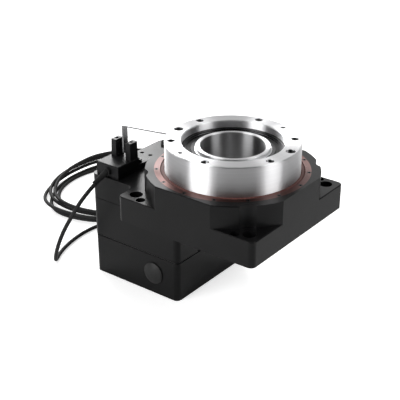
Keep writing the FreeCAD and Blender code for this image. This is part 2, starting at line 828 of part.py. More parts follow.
def make_table():
    # Turning table with the hub that carries bearing ring and gear
    body = doc.addObject("PartDesign::Body", "RotaryTable")
    bearing_top = "bearing_base+bearing_height"
    floor = "table_top-table_recess_depth"
    spun(body, "Table", [
        ("table_hub_bore/2", "hub_end"),
        ("bearing_bore_radius", "hub_end"),
        ("bearing_bore_radius", bearing_top),
        ("table_foot_radius", bearing_top),
        ("table_foot_radius", bearing_top + "+table_foot_gap"),
        ("table_radius", bearing_top + "+table_foot_gap"),
        ("table_radius", "table_top-table_edge"),
        ("table_radius-table_edge", "table_top"),
        ("table_recess/2+table_edge", "table_top"),
        ("table_recess/2", "table_top-table_edge"),
        ("table_recess/2", floor),
        ("thin_bearing_outer/2", floor),
        ("thin_bearing_outer/2", "thin_bearing_base"),
        ("table_hub_bore/2", "thin_bearing_base"),
    ])
    doc.recompute()
    holes = polar_holes(body, "TableTapSketch", "table_hole_circle", "table_hole_bore/2",
                        steps(6, size("table_hole_phase")), "table_top")
    cut(body, "TableTaps", holes, "table_hole_depth")
    dowels = polar_holes(body, "DowelSketch", "table_hole_circle", "dowel_hole_bore/2",
                         steps(2, size("dowel_phase")), "table_top")
    cut(body, "DowelHoles", dowels, "dowel_hole_depth")
    pilots = polar_holes(body, "PilotSketch", "table_hole_circle", "pilot_hole_bore/2",
                         steps(2, size("pilot_phase")), "table_top")
    cut(body, "PilotHoles", pilots, "pilot_hole_depth")
    hub = polar_holes(body, "HubTapSketch", "gear_screw_circle", "gear_screw_shank/2",
                      steps(6, 0.0), "hub_end")
    cut(body, "HubTaps", hub, "gear_screw_length", up=True)
    level = "flag_screw_level"
    bearing = math.radians(size("flag_screw_bearing"))
    tap = Part.makeCylinder(size("flag_screw_shank") / 2, size("flag_screw_bite") + 2,
                            V(math.cos(bearing) * (size("table_radius") - size("flag_screw_bite")),
                              math.sin(bearing) * (size("table_radius") - size("flag_screw_bite")),
                              size(level)),
                            V(math.cos(bearing), math.sin(bearing), 0))
    drill = doc.addObject("Part::Feature", "FlagDrill")
    drill.Shape = tap
    doc.recompute()
    drilled = less("TableDrilled", body, drill)
    return named(drilled, "rotary_table")


def make_main_bearing():
    # Crossed roller bearing: two outer halves, one inner ring, tilted rollers
    groove = "(roller_bore/2+roller_play)*1.41421356"
    middle = "bearing_base+bearing_height/2"
    outer_face = "(roller_pitch_radius+ring_split_gap/2)"
    inner_face = "(roller_pitch_radius-ring_split_gap/2)"
    slope = "(%s-ring_split_gap/2)" % groove
    lower = doc.addObject("PartDesign::Body", "OuterRingLower")
    spun(lower, "LowerRing", [
        (outer_face, "bearing_base"),
        ("bearing_outer_radius", "bearing_base"),
        ("bearing_outer_radius", middle),
        ("roller_pitch_radius+" + groove, middle),
        (outer_face, middle + "-" + slope),
    ])
    named(lower, "bearing_outer_lower")
    upper = doc.addObject("PartDesign::Body", "OuterRingUpper")
    spun(upper, "UpperRing", [
        ("roller_pitch_radius+" + groove, middle),
        ("bearing_outer_radius", middle),
        ("bearing_outer_radius", "bearing_base+bearing_height"),
        (outer_face, "bearing_base+bearing_height"),
        (outer_face, middle + "+" + slope),
    ])
    named(upper, "bearing_outer_upper")
    inner = doc.addObject("PartDesign::Body", "InnerRing")
    spun(inner, "TurningRing", [
        ("bearing_bore_radius", "bearing_base"),
        (inner_face, "bearing_base"),
        (inner_face, middle + "-" + slope),
        ("roller_pitch_radius-" + groove, middle),
        (inner_face, middle + "+" + slope),
        (inner_face, "bearing_base+bearing_height"),
        ("bearing_bore_radius", "bearing_base+bearing_height"),
    ])
    named(inner, "bearing_inner_ring")
    rollers = []
    total = count("roller_count")
    for i in range(total):
        tilt = 1.0 if i % 2 else -1.0
        angle = 360.0 * i / total
        axis = V(1, 0, tilt)
        axis.normalize()
        length = size("roller_length")
        centre = V(size("roller_pitch_radius"), 0, number(middle))
        start = centre - axis * (length / 2)
        roller = Part.makeCylinder(size("roller_bore") / 2, length, start, axis)
        roller.rotate(V(0, 0, 0), V(0, 0, 1), angle)
        rollers.append(roller)
    solid_feature("crossed_rollers", Part.makeCompound(rollers), "CrossedRollers")


def make_retaining_ring():
    body = doc.addObject("PartDesign::Body", "RetainingRing")
    low = "house_top-ring_depth"
    spun(body, "RingBand", [
        ("ring_inner_radius", low), ("ring_radius", low),
        ("ring_radius", "house_top"), ("ring_inner_radius", "house_top")])
    doc.recompute()
    angles = steps(count("ring_screw_count"), size("ring_screw_phase"))
    holes = polar_holes(body, "RingHoleSketch", "ring_screw_circle",
                        "ring_screw_shank/2", angles, "house_top")
    cut(body, "RingHoles", holes, "ring_depth")
    sinks = polar_holes(body, "RingSinkSketch", "ring_screw_circle",
                        "ring_screw_head/2", angles, "house_top")
    cut(body, "RingSinks", sinks, "ring_depth/2")
    named(body, "retaining_ring")
    screw_ring("ring_screws", "ring_screw_circle", "ring_screw_shank", "ring_screw_head",
               "ring_depth/2", "ring_screw_length", angles, "house_top", head_low=False)


def make_dust_seal():
    # Lip ring that closes the gap between the turning table and the housing
    body = doc.addObject("PartDesign::Body", "DustSeal")
    low = "bearing_base+bearing_height"
    spun(body, "Seal", [
        ("table_radius+seal_gap+0.5", low),
        ("ring_inner_radius", low),
        ("ring_inner_radius", low + "+seal_height*0.7"),
        ("ring_inner_radius-0.5", low + "+seal_height"),
        ("table_radius+seal_gap", low + "+seal_height"),
        ("table_radius+seal_gap", low + "+seal_height*0.5")])
    named(body, "dust_seal")


def make_thin_bearing():
    # Sealed ball bearing between the fixed sleeve and the turning table
    low = "thin_bearing_base"
    high = "thin_bearing_base+thin_bearing_width"
    inner = doc.addObject("PartDesign::Body", "ThinInner")
    spun(inner, "ThinInnerRing", [
        ("sleeve_seat/2", low), ("thin_race_inner/2", low),
        ("thin_race_inner/2", high), ("sleeve_seat/2", high)])
    named(inner, "sleeve_bearing_inner")
    outer = doc.addObject("PartDesign::Body", "ThinOuter")
    spun(outer, "ThinOuterRing", [
        ("thin_race_outer/2", low), ("thin_bearing_outer/2", low),
        ("thin_bearing_outer/2", high), ("thin_race_outer/2", high)])
    named(outer, "sleeve_bearing_outer")
    seal = doc.addObject("PartDesign::Body", "ThinSeal")
    spun(seal, "ThinSealDisc", [
        ("thin_race_inner/2+race_play", high + "-thin_seal_inset-thin_seal_depth"),
        ("thin_race_outer/2", high + "-thin_seal_inset-thin_seal_depth"),
        ("thin_race_outer/2", high + "-thin_seal_inset"),
        ("thin_race_inner/2+race_play", high + "-thin_seal_inset")])
    named(seal, "sleeve_bearing_seal")


def tooth_outline(teeth, thin, centre_x=0.0, phase=0.0):
    # Spur tooth outline: straight chords along the true involute flanks
    module = size("gear_module")
    pitch = module * teeth / 2
    pressure = math.radians(20)
    base = pitch * math.cos(pressure)
    tip = pitch + module
    root = pitch - 1.25 * module
    start = max(base, root + 0.12 * module)

    def roll(radius):
        ratio = min(1.0, base / radius)
        angle = math.acos(ratio)
        return math.tan(angle) - angle

    half = math.pi / (2 * teeth) - thin / (2 * pitch)
    radii = [start + (tip - start) * i / 3 for i in range(4)]
    spots = []
    for k in range(teeth):
        middle = 2 * math.pi * k / teeth + phase
        gap = math.pi / teeth
        flank = [(r, half + roll(pitch) - roll(r)) for r in radii]
        side = [(root, min(gap * 0.92, flank[0][1] + 0.10 * gap))] + flank
        for r, a in side:
            spots.append(V(centre_x + r * math.cos(middle - a), r * math.sin(middle - a), 0))
        for r, a in reversed(side):
            spots.append(V(centre_x + r * math.cos(middle + a), r * math.sin(middle + a), 0))
    spots.append(spots[0])
    return Part.Face(Part.makePolygon(spots))


def make_ring_gear():
    # Driven gear, screwed to the end of the table hub
    low = size("gear_base")
    end = size("hub_end")
    rim = tooth_outline(count("gear_teeth"), size("gear_backlash"))
    rim.translate(V(0, 0, low))
    wheel = rim.extrude(V(0, 0, end - low))
    collar = Part.makeCylinder(size("gear_collar_radius"), size("bearing_base") - end,
                               V(0, 0, end))
    wheel = wheel.fuse(collar)
    bore = Part.makeCylinder(size("table_hub_bore") / 2, size("house_top"), V(0, 0, low - 1))
    under = Part.makeCylinder(size("gear_rim_radius"), size("gear_web_base") - low + 1,
                              V(0, 0, low - 1))
    hub = Part.makeCylinder(size("bearing_bore_radius"), size("house_top"), V(0, 0, end))
    wheel = wheel.cut(Part.makeCompound([bore])).cut(under).cut(hub)
    for angle in steps(6):
        turn = math.radians(angle)
        r = size("gear_screw_circle")
        hole = Part.makeCylinder(size("gear_screw_shank") / 2, 20,
                                 V(r * math.cos(turn), r * math.sin(turn), low))
        wheel = wheel.cut(hole)
    solid_feature("ring_gear", wheel, "RingGear")
    screw_ring("gear_screws", "gear_screw_circle", "gear_screw_shank", "gear_screw_head",
               "gear_screw_head_height", "gear_screw_head_height+gear_screw_length",
               steps(6), "gear_web_base-gear_screw_head_height")


def turned(points, x=0.0):
    # A turned solid from radius and height pairs, about an upright axis at x
    spots = [V(r, 0, z) for r, z in points]
    face = Part.Face(Part.makePolygon(spots + [spots[0]]))
    solid = face.revolve(V(0, 0, 0), V(0, 0, 1), 360)
    solid.translate(V(x, 0, 0))
    return solid


def make_pinion():
    # Pinion and shaft in one, with the bored coupling end for the motor shaft
    x = -number(PINION_X)
    teeth = count("pinion_teeth")
    low, end = size("gear_base"), size("hub_end")
    rim = tooth_outline(teeth, size("gear_backlash"), x, math.pi / teeth)
    rim.translate(V(0, 0, low))
    gear = rim.extrude(V(0, 0, end - low))
    bore = size("small_bearing_bore") / 2
    shoulder = size("shaft_shoulder") / 2
    upper = -size("small_bearing_top") - size("small_bearing_width")
    lower = -size("small_bearing_low")
    shaft = turned([
        (0, low), (bore, low), (bore, upper), (shoulder, upper), (shoulder, lower),
        (bore, lower), (bore, -size("coupling_top")),
        (size("coupling_radius"), -size("coupling_top")),
        (size("coupling_radius"), -size("coupling_bottom")),
        (size("motor_shaft_bore") / 2, -size("coupling_bottom")),
        (size("motor_shaft_bore") / 2, -size("coupling_top") - 2),
        (0, -size("coupling_top") - 2)], x)
    slit = Part.makeBox(size("coupling_radius") + 2, size("coupling_slit"),
                        size("coupling_bottom") - size("collar_top") + 1,
                        V(x, -size("coupling_slit") / 2, -size("coupling_bottom")))
    solid_feature("pinion_shaft", gear.fuse(shaft).cut(slit).removeSplitter(), "PinionShaft")
    for label, top in (("upper", size("small_bearing_top")), ("lower", size("small_bearing_low"))):
        high, deep = -top, -top - size("small_bearing_width")
        inner = turned([(bore, deep), (size("small_race_inner") / 2, deep),
                        (size("small_race_inner") / 2, high), (bore, high)], x)
        solid_feature("pinion_bearing_inner_" + label, inner, "PinionInner" + label.title())
        outer = turned([(size("small_race_outer") / 2, deep),
                        (size("small_bearing_outer") / 2, deep),
                        (size("small_bearing_outer") / 2, high),
                        (size("small_race_outer") / 2, high)], x)
        solid_feature("pinion_bearing_outer_" + label, outer, "PinionOuter" + label.title())


def make_clamp():
    # Split collar that grips the motor shaft through the slit coupling end
    x = -number(PINION_X)
    low, high = -size("collar_bottom"), -size("collar_top")
    ring = turned([(size("coupling_radius"), low), (size("collar_radius"), low),
                   (size("collar_radius"), high), (size("coupling_radius"), high)], x)
    slit = Part.makeBox(size("collar_radius") + 2, size("coupling_slit"), high - low + 2,
                        V(x, -size("coupling_slit") / 2, low - 1))
    level = -size("clamp_screw_level")
    offset = x + size("clamp_screw_offset")
    seat = size("clamp_head_seat")
    shank = Part.makeCylinder(size("clamp_screw_shank") / 2, 40, V(offset, -20, level),
                              V(0, 1, 0))
    pocket = Part.makeCylinder(size("clamp_screw_head") / 2 + size("screw_clear"), 20,
                               V(offset, -seat - 20, level), V(0, 1, 0))
    ring = ring.cut(slit).cut(shank).cut(pocket)
    solid_feature("clamp_collar", ring, "ClampCollar")
    head = Part.makeCylinder(size("clamp_screw_head") / 2, size("clamp_screw_head_height"),
                             V(offset, -seat - size("clamp_screw_head_height"), level),
                             V(0, 1, 0))
    stem = Part.makeCylinder(size("clamp_screw_shank") / 2, size("clamp_screw_length"),
                             V(offset, -seat, level), V(0, 1, 0))
    key = hexagon(size("clamp_screw_head") * 0.26, size("clamp_screw_head_height") * 0.6,
                  V(0, 0, 0))
    key.rotate(V(0, 0, 0), V(1, 0, 0), -90)
    key.translate(V(offset, -seat - size("clamp_screw_head_height"), level))
    solid_feature("clamp_screw", head.fuse(stem).cut(key).removeSplitter(), "ClampScrew")


def square_on_pinion(body, name, side, lift=None):
    x = "(%s)" % PINION_X
    return outline(body, name, "XY_Plane", [
        ("-%s-%s/2" % (x, side), "-%s/2" % side), ("-%s+%s/2" % (x, side), "-%s/2" % side),
        ("-%s+%s/2" % (x, side), "%s/2" % side), ("-%s-%s/2" % (x, side), "%s/2" % side)],
        lift=lift)


def make_upper_block():
    # Bearing block of the pinion, between housing and motor block
    body = doc.addObject("PartDesign::Body", "UpperBlock")
    sketch = square_on_pinion(body, "UpperSketch", "block_side")
    padded(body, "UpperBase", sketch, "block_joint", down=True)
    doc.recompute()
    dressed(body, "UpperCorners", "Fillet", edges_where(body.Tip.Shape, upright),
            "block_corner")
    doc.recompute()
    joint = -size("block_joint")
    dressed(body, "UpperBreak", "Chamfer",
            edges_where(body.Tip.Shape, lambda e: at_level(e, joint) or at_level(e, 0)),
            "upper_chamfer")
    doc.recompute()
    x = "-" + PINION_X
    centre = [(x, "0", "shaft_bore_clear")]
    cut(body, "ShaftBore", circles(body, "ShaftBoreSketch", "XY_Plane", centre),
        "block_joint")
    cut(body, "UpperSeat", circles(body, "UpperSeatSketch", "XY_Plane",
                                   [(x, "0", "small_bearing_outer/2")]),
        "small_bearing_top+small_bearing_width")
    cut(body, "LowerSeat", circles(body, "LowerSeatSketch", "XY_Plane",
                                   [(x, "0", "small_bearing_outer/2")], lift="-block_joint"),
        "block_joint-small_bearing_low", up=True)
    cut(body, "Scallop", circles(body, "ScallopSketch", "XY_Plane",
                                 [("0", "0", "block_scallop")]), "block_joint")
    spots = [("-(%s)%s" % (PINION_X, a), b, "block_screw_shank/2") for a, b in LONG_SCREWS]
    cut(body, "LongHoles", circles(body, "LongHoleSketch", "XY_Plane", spots), "block_joint")
    spots = [("-(%s)%s" % (PINION_X, a), b, "block_screw_shank/2") for a, b in SHORT_SCREWS]
    cut(body, "ShortTaps", circles(body, "ShortTapSketch", "XY_Plane", spots,
                                   lift="-block_joint"), "short_screw_bite", up=True)
    return named(body, "adapter_block_upper")


def make_lower_block():
    # Motor block: pilot bore and bolt pattern below, coupling room inside
    body = doc.addObject("PartDesign::Body", "LowerBlock")
    sketch = square_on_pinion(body, "LowerSketch", "lower_side", lift="-block_joint")
    padded(body, "LowerBase", sketch, "block_bottom-block_joint", down=True)
    doc.recompute()
    dressed(body, "LowerCorners", "Fillet", edges_where(body.Tip.Shape, upright),
            "block_corner")
    doc.recompute()
    joint = -size("block_joint")
    dressed(body, "LowerBreak", "Chamfer",
            edges_where(body.Tip.Shape, lambda e: at_level(e, joint)), "lower_chamfer")
    doc.recompute()
    x = "-" + PINION_X
    cut(body, "Room", circles(body, "RoomSketch", "XY_Plane", [(x, "0", "cavity_radius")],
                              lift="-block_joint"), "block_bottom-block_joint")
    cut(body, "Pilot", circles(body, "PilotBoreSketch", "XY_Plane", [(x, "0", "pilot_bore/2")],
                               lift="-block_bottom"), "pilot_depth", up=True)
    half = "motor_bolt_pitch/2"
    spots = [("-(%s)%s%s" % (PINION_X, a, half), b + half, "motor_bolt_bore/2")
             for a in "+-" for b in ("", "-")]
    cut(body, "MotorTaps", circles(body, "MotorTapSketch", "XY_Plane", spots,
                                   lift="-block_bottom"), "motor_bolt_depth", up=True)
    both = LONG_SCREWS + SHORT_SCREWS
    spots = [("-(%s)%s" % (PINION_X, a), b, "block_screw_shank/2") for a, b in both]
    cut(body, "ScrewHoles", circles(body, "ScrewHoleSketch", "XY_Plane", spots,
                                    lift="-block_joint"), "block_bottom-block_joint")
    spots = [("-(%s)%s" % (PINION_X, a), b, "block_screw_head/2+screw_clear") for a, b in both]
    cut(body, "ScrewSinks", circles(body, "ScrewSinkSketch", "XY_Plane", spots,
                                    lift="-block_bottom"),
        "block_screw_head_height+0.4", up=True)
    x_plug = -number(PINION_X) + size("clamp_screw_offset")
    face = -size("lower_side") / 2
    drill = doc.addObject("Part::Feature", "PlugDrill")
    drill.Shape = Part.makeCylinder(size("plug_bore") / 2,
                                    size("lower_side") / 2, V(x_plug, face - 1,
                                                              -size("clamp_screw_level")),
                                    V(0, 1, 0))
    doc.recompute()
    return named(less("LowerDrilled", body, drill), "adapter_block_lower")


def make_plug():
    # Domed plug over the access hole of the clamp screw
    x = -number(PINION_X) + size("clamp_screw_offset")
    face = -size("lower_side") / 2
    head = size("plug_head") / 2
    dome = size("plug_dome")
    rim = size("plug_rim")
    stem = size("plug_bore") / 2
    rise = dome - rim
    ball = (head * head + rise * rise) / (2 * rise)
    middle = V(head * 0.55, 0, rim + math.sqrt(ball * ball - (head * 0.55) ** 2) - (ball - rise))
    arc = Part.Arc(V(head, 0, rim), middle, V(0, 0, dome)).toShape()
    lines = [V(0, 0, dome), V(0, 0, -size("plug_depth")),
             V(stem, 0, -size("plug_depth")), V(stem, 0, 0), V(head, 0, 0), V(head, 0, rim)]
    edges = [Part.makeLine(lines[i], lines[i + 1]) for i in range(len(lines) - 1)]
    wire = Part.Wire(Part.__sortEdges__([arc] + edges))
    plug = Part.Face(wire).revolve(V(0, 0, 0), V(0, 0, 1), 360)
    plug.rotate(V(0, 0, 0), V(1, 0, 0), 90)
    plug.translate(V(x, face, -size("clamp_screw_level")))
    solid_feature("access_plug", plug, "AccessPlug")


def make_block_screws():
    x = -number(PINION_X)
    base = -size("block_bottom") + 0.4
    made = []
    for a, b in LONG_SCREWS:
        length = "block_bottom-0.4+block_screw_bite"
        made.append(screw_at(x + number("0" + a), number(b), base, "block_screw_shank",
                             "block_screw_head", "block_screw_head_height", length))
    solid_feature("block_screws_long", Part.makeCompound(made), "BlockScrewsLong")
    made = []
    for a, b in SHORT_SCREWS:
        length = "block_bottom-block_joint-0.4+short_screw_bite"
        made.append(screw_at(x + number("0" + a), number(b), base, "block_screw_shank",
                             "block_screw_head", "block_screw_head_height", length))
    solid_feature("block_screws_short", Part.makeCompound(made), "BlockScrewsShort")


def tapered_post(x0, x1, y0, y1, z0, z1, taper):
    # An upright post with all four sides drawn in a little at the top
    low = Part.makePolygon([V(x0, y0, z0), V(x1, y0, z0), V(x1, y1, z0), V(x0, y1, z0),
                            V(x0, y0, z0)])
    t = taper
    high = Part.makePolygon([V(x0 + t, y0 + t, z1), V(x1 - t, y0 + t, z1),
                             V(x1 - t, y1 - t, z1), V(x0 + t, y1 - t, z1),
                             V(x0 + t, y0 + t, z1)])
    return Part.makeLoft([low, high], True)


def make_sensor():
    # Slotted light barrier on the arm, with two prongs and slotted ears
    left = -size("sensor_left")
    front = -size("sensor_front")
    base = size("lug_top")
    high = base + size("sensor_height")
    back = front + size("sensor_depth")
    body = Part.makeBox(size("sensor_length"), size("sensor_depth"), size("sensor_height"),
                        V(left, front, base))
    edges = [e for e in body.Edges if e.BoundBox.ZMin > high - 0.01]
    body = body.makeChamfer(0.3, edges)
    ears = Part.makeBox(size("sensor_length"), size("sensor_ear_length"),
                        size("sensor_ear_height"), V(left, back, base))
    ear_end = back + size("sensor_ear_length")
    slot_start = ear_end - size("sensor_slot_depth")
    wide = size("sensor_ear_slot")
    for x in (left + size("sensor_slot_x"), left + size("sensor_length") - size("sensor_slot_x")):
        slot = Part.makeBox(wide, size("sensor_slot_depth") + 1, 10,
                            V(x - wide / 2, slot_start, base - 1))
        root = Part.makeCylinder(wide / 2, 10, V(x, slot_start, base - 1))
        ears = ears.cut(slot).cut(root)
    prong_low = front + size("prong_front")
    prong_back = prong_low + size("prong_depth")
    first = left + size("prong_inset_x")
    second = first + size("prong_width") + size("prong_gap")
    top = high + size("prong_height")
    solids = [ears]
    for x in (first, second):
        post = tapered_post(x, x + size("prong_width"), prong_low, prong_back,
                            base + 1, top, size("prong_taper"))
        solids.append(post)
    for solid in solids:
        body = body.fuse(solid)
    for x, side in ((first + size("prong_width"), -1), (second, 1)):
        depth = size("window_depth") + size("prong_taper")
        start = x - depth if side < 0 else x
        window = Part.makeBox(depth, size("prong_depth") * 0.44, size("prong_height") * 0.5,
                              V(start, prong_low + size("prong_depth") * 0.28,
                                high + size("prong_height") * 0.38))
        body = body.cut(window)
    for x in (first, second):
        mark = Part.makeBox(size("prong_width") * 0.5, size("prong_depth") * 0.3,
                            size("prong_pocket") + 1,
                            V(x + size("prong_width") * 0.25,
                              prong_low + size("prong_depth") * 0.35,
                              top - size("prong_pocket")))
        body = body.cut(mark)
    solid_feature("sensor_body", body.removeSplitter(), "SensorBody")
    made = []
    for x in SENSOR_SCREWS:
        made.append(screw_at(number(x), number(SENSOR_SCREW_Y),
                             base + size("sensor_ear_height") + size("sensor_screw_head_height"),
                             "sensor_screw_shank", "sensor_screw_head",
                             "sensor_screw_head_height",
                             "sensor_screw_head_height+sensor_ear_height+sensor_screw_bite",
                             up=False))
    solid_feature("sensor_screws", Part.makeCompound(made), "SensorScrews")


# Route of the sensor lead, chosen points from the strain relief to the coil
LEAD_EXIT = V(size("exit_inset") - size("sensor_left"), -size("sensor_front"),
              size("lug_top") + size("exit_height"))
LEAD_RUN = V(-0.20, -0.85, -0.48)
LEAD_POINTS = [
    (-68.4, -46.2, 4.0), (-72.7, -48.0, -5.2), (-77.9, -48.1, -15.0),
    (-83.6, -46.3, -25.2), (-89.6, -43.2, -35.6), (-95.6, -38.3, -45.2),
    (-101.3, -28.7, -45.2), (-105.0, -15.6, -45.2), (-107.2, -2.6, -45.2),
    (-106.5, 9.4, -45.2), (-101.0, 22.0, -45.2),
]


def lead_start():
    run = V(LEAD_RUN)
    run.normalize()
    neck = LEAD_EXIT + V(0, -size("relief_collar_depth"), 0)
    return neck, neck + run * size("relief_length"), run


def rounded_path(points):
    # Straight runs joined by tangent arcs, and the radius of each arc
    edges = []
    radii = []
    last = points[0]
    for i in range(1, len(points) - 1):
        a, b, c = points[i - 1], points[i], points[i + 1]
        into = b - a
        out = c - b
        shorter = min(into.Length, out.Length)
        into.normalize()
        out.normalize()
        turn = into.getAngle(out)
        reach = 0.45 * shorter
        radius = reach / math.tan(turn / 2)
        radii.append(radius)
        start = b - into * reach
        end = b + out * reach
        inward = out - into
        inward.normalize()
        centre = b + inward * (radius / math.cos(turn / 2))
        middle = centre - inward * radius
        edges.append(Part.LineSegment(last, start).toShape())
        edges.append(Part.Arc(start, middle, end).toShape())
        last = end
    edges.append(Part.LineSegment(last, points[-1]).toShape())
    return Part.Wire(edges), radii


def make_lead():
    # Strain relief, free stretch, coil and bared end of the sensor lead
    neck, start, run = lead_start()
    collar = Part.makeCylinder(size("relief_collar") / 2, size("relief_collar_depth") + 0.5,
                               LEAD_EXIT + V(0, 0.0, 0), V(0, -1, 0))
    cone = Part.makeCone(size("relief_root") / 2, size("cable_bore") / 2 + 0.15,
                         size("relief_length"), neck, run)
    relief = collar.fuse(cone)
    solid_feature("sensor_strain_relief", relief, "StrainRelief")
    first = start + run * 6.0
    points = [start, first] + [V(*p) for p in LEAD_POINTS]
    wire, radii = rounded_path(points)
    radius = size("cable_bore") / 2
    section = Part.Wire([Part.Circle(start, run, radius).toShape()])
    tube = wire.makePipeShell([section], True, False)
    ratio = tube.Volume / (math.pi * radius * radius * wire.Length)
    print("lead tube length %.1f" % wire.Length, "volume ratio %.4f" % ratio)
    print("bend radii", [round(r, 1) for r in radii])
    solid_feature("sensor_lead", tube, "SensorLead")
    coil_parts = []
    for long, short in ((size("coil_long"), size("coil_short")),
                        (size("coil_long") - size("coil_band"),
                         size("coil_short") - size("coil_band"))):
        ellipse = Part.Ellipse(V(0, 0, 0), long, short)
        coil_parts.append(Part.Face(Part.Wire([ellipse.toShape()])).extrude(
            V(0, 0, size("coil_height"))))
    coil = coil_parts[0].cut(coil_parts[1])
    round_edges = [e for e in coil.Edges if e.BoundBox.ZMax - e.BoundBox.ZMin < 0.01]
    coil = coil.makeChamfer(2.2, round_edges)
    coil.rotate(V(0, 0, 0), V(0, 0, 1), size("coil_turn"))
    coil.translate(V(size("coil_x"), size("coil_y"), -size("block_bottom")))
    solid_feature("sensor_lead_coil", coil, "SensorLeadCoil")
    level = -size("block_bottom") + radius
    tail_foot = V(size("coil_x") + size("coil_short") - 5.0, size("coil_y") + 6.0, level)
    heading = V(0.42, 0.91, 0)
    heading.normalize()
    tail = Part.makeCylinder(radius, size("end_length"), tail_foot, heading)
    tip = tail_foot + heading * size("end_length")
    made = tail
    for i in range(4):
        angle = math.radians(45 + 90 * i)
        side = V(-heading.y, heading.x, 0) * (0.5 * math.cos(angle)) + V(0, 0, 0.5 * math.sin(angle))
        wire_part = Part.makeCylinder(size("lead_bore") / 2, size("lead_length") + 0.5,
                                      tip - heading * 0.5 + side, heading)
        made = made.fuse(wire_part)
    solid_feature("sensor_lead_end", made, "SensorLeadEnd")


def make_flag():
    # Bent sheet that passes through the light barrier once per turn
    sheet_t = size("flag_sheet")
    inner = size("table_radius")
    low, level = size("flag_tab_low"), size("flag_level")
    top = level + sheet_t
    outer = Part.makeCylinder(inner + sheet_t, top - low, V(0, 0, low), V(0, 0, 1),
                              size("flag_tab_to") - size("flag_tab_from"))
    tab = outer.cut(Part.makeCylinder(inner, top - low, V(0, 0, low)))
    tab.rotate(V(0, 0, 0), V(0, 0, 1), size("flag_tab_from"))
    wide = size("flag_width")
    reach = size("flag_reach")
    arm = Part.makeBox(reach - inner - sheet_t * 0.5, wide, sheet_t,
                       V(inner + sheet_t * 0.5, -wide / 2, level))
    blade = Part.makeBox(sheet_t, wide, top - size("flag_blade_low"),
                         V(reach - sheet_t, -wide / 2, size("flag_blade_low")))
    bent = arm.fuse(blade).removeSplitter()
    corner = [e for e in bent.Edges if abs(e.BoundBox.ZMin - top) < 1e-4
              and abs(e.BoundBox.ZMax - top) < 1e-4 and abs(e.BoundBox.XMin - reach) < 1e-4
              and abs(e.BoundBox.XMax - reach) < 1e-4]
    bent = bent.makeFillet(size("flag_bend"), corner)
    bent.rotate(V(0, 0, 0), V(0, 0, 1), size("flag_bearing"))
    whole = tab.fuse(bent)
    bearing = math.radians(size("flag_screw_bearing"))
    out = V(math.cos(bearing), math.sin(bearing), 0)
    foot = out * (inner - size("flag_screw_bite")) + V(0, 0, size("flag_screw_level"))
    hole = Part.makeCylinder(size("flag_screw_shank") / 2, 20, foot, out)
    solid_feature("sensor_flag", whole.cut(hole).removeSplitter(), "SensorFlag")
    seat = out * (inner + sheet_t) + V(0, 0, size("flag_screw_level"))
    stem = Part.makeCylinder(size("flag_screw_shank") / 2,
                             size("flag_screw_bite") + sheet_t + 0.2, foot, out)
    head = Part.makeCylinder(size("flag_screw_head") / 2, size("flag_screw_head_height"),
                             seat, out)
    head = head.cut(Part.makeCylinder(inner + sheet_t, 20, V(0, 0, 30)))
    key = hexagon(size("flag_screw_head") * 0.26, size("flag_screw_head_height") * 0.6,
                  V(0, 0, 0))
    key.rotate(V(0, 0, 0), V(0, 1, 0), 90)
    key.rotate(V(0, 0, 0), V(0, 0, 1), size("flag_screw_bearing"))
    key.translate(seat + out * (size("flag_screw_head_height") * 0.45))
    solid_feature("flag_screw", stem.fuse(head).cut(key).removeSplitter(), "FlagScrew")


make_housing()
make_bottom_cover()
screw_ring("cover_screws", "cover_screw_circle", "cover_screw_shank", "cover_screw_head",
           "cover_depth/2", "cover_screw_length", cover_angles(), "0")
make_sleeve()
screw_ring("sleeve_screws", "sleeve_screw_circle", "sleeve_screw_shank", "sleeve_screw_head",
           "cover_depth/2", "cover_depth+sleeve_flange_depth", steps(6, 30.0), "0")
make_table()
make_main_bearing()
make_retaining_ring()
make_dust_seal()
make_thin_bearing()
make_ring_gear()
make_pinion()
make_clamp()
make_upper_block()
make_lower_block()
make_plug()
make_block_screws()
make_sensor()
make_lead()
make_flag()
doc.recompute()

problems = []
for obj in doc.Objects:
    if "Invalid" in obj.State or "Error" in obj.State:
        problems.append("%s %s" % (obj.Name, obj.State))
for obj in parts:
    if obj.Shape.isNull() or not obj.Shape.isValid():
        problems.append(obj.Label + " has no valid shape")
if problems:
    raise RuntimeError("; ".join(problems))

os.makedirs("parts", exist_ok=True)
for obj in parts:
    obj.Shape.exportStep("parts/%s.step" % obj.Label)
    print(obj.Label, len(obj.Shape.Solids), round(obj.Shape.Volume, 1))
print(len(parts), "pieces written")
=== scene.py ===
# %% [markdown]
# A hollow rotary platform: a bright round table turns on a black cast housing, driven by a
# motor that bolts under the square block at its side. The solid pieces come in ready made
# and true to size, so this lesson doesn't model them again. It gives them their finishes,
# lays the sensor's lead as a curve, and sets the light and the camera.
# Lengths are written in millimetres and turned into metres by one factor, because a maker
# thinks in millimetres and Blender's unit is the metre.

import json
import math

import bpy
from mathutils import Matrix, Vector


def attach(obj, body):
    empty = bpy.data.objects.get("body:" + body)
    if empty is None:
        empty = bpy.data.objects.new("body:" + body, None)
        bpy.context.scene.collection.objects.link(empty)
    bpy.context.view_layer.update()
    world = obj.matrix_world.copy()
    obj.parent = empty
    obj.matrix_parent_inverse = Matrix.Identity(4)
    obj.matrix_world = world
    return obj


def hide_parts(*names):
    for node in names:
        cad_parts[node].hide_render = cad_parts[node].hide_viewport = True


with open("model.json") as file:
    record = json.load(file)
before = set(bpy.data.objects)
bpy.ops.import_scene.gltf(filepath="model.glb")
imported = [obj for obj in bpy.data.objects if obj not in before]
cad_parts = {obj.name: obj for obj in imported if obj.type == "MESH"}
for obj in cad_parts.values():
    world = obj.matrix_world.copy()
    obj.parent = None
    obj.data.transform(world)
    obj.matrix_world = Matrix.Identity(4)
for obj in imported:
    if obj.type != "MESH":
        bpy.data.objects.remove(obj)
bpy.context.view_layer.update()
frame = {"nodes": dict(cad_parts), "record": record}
MM = 0.001
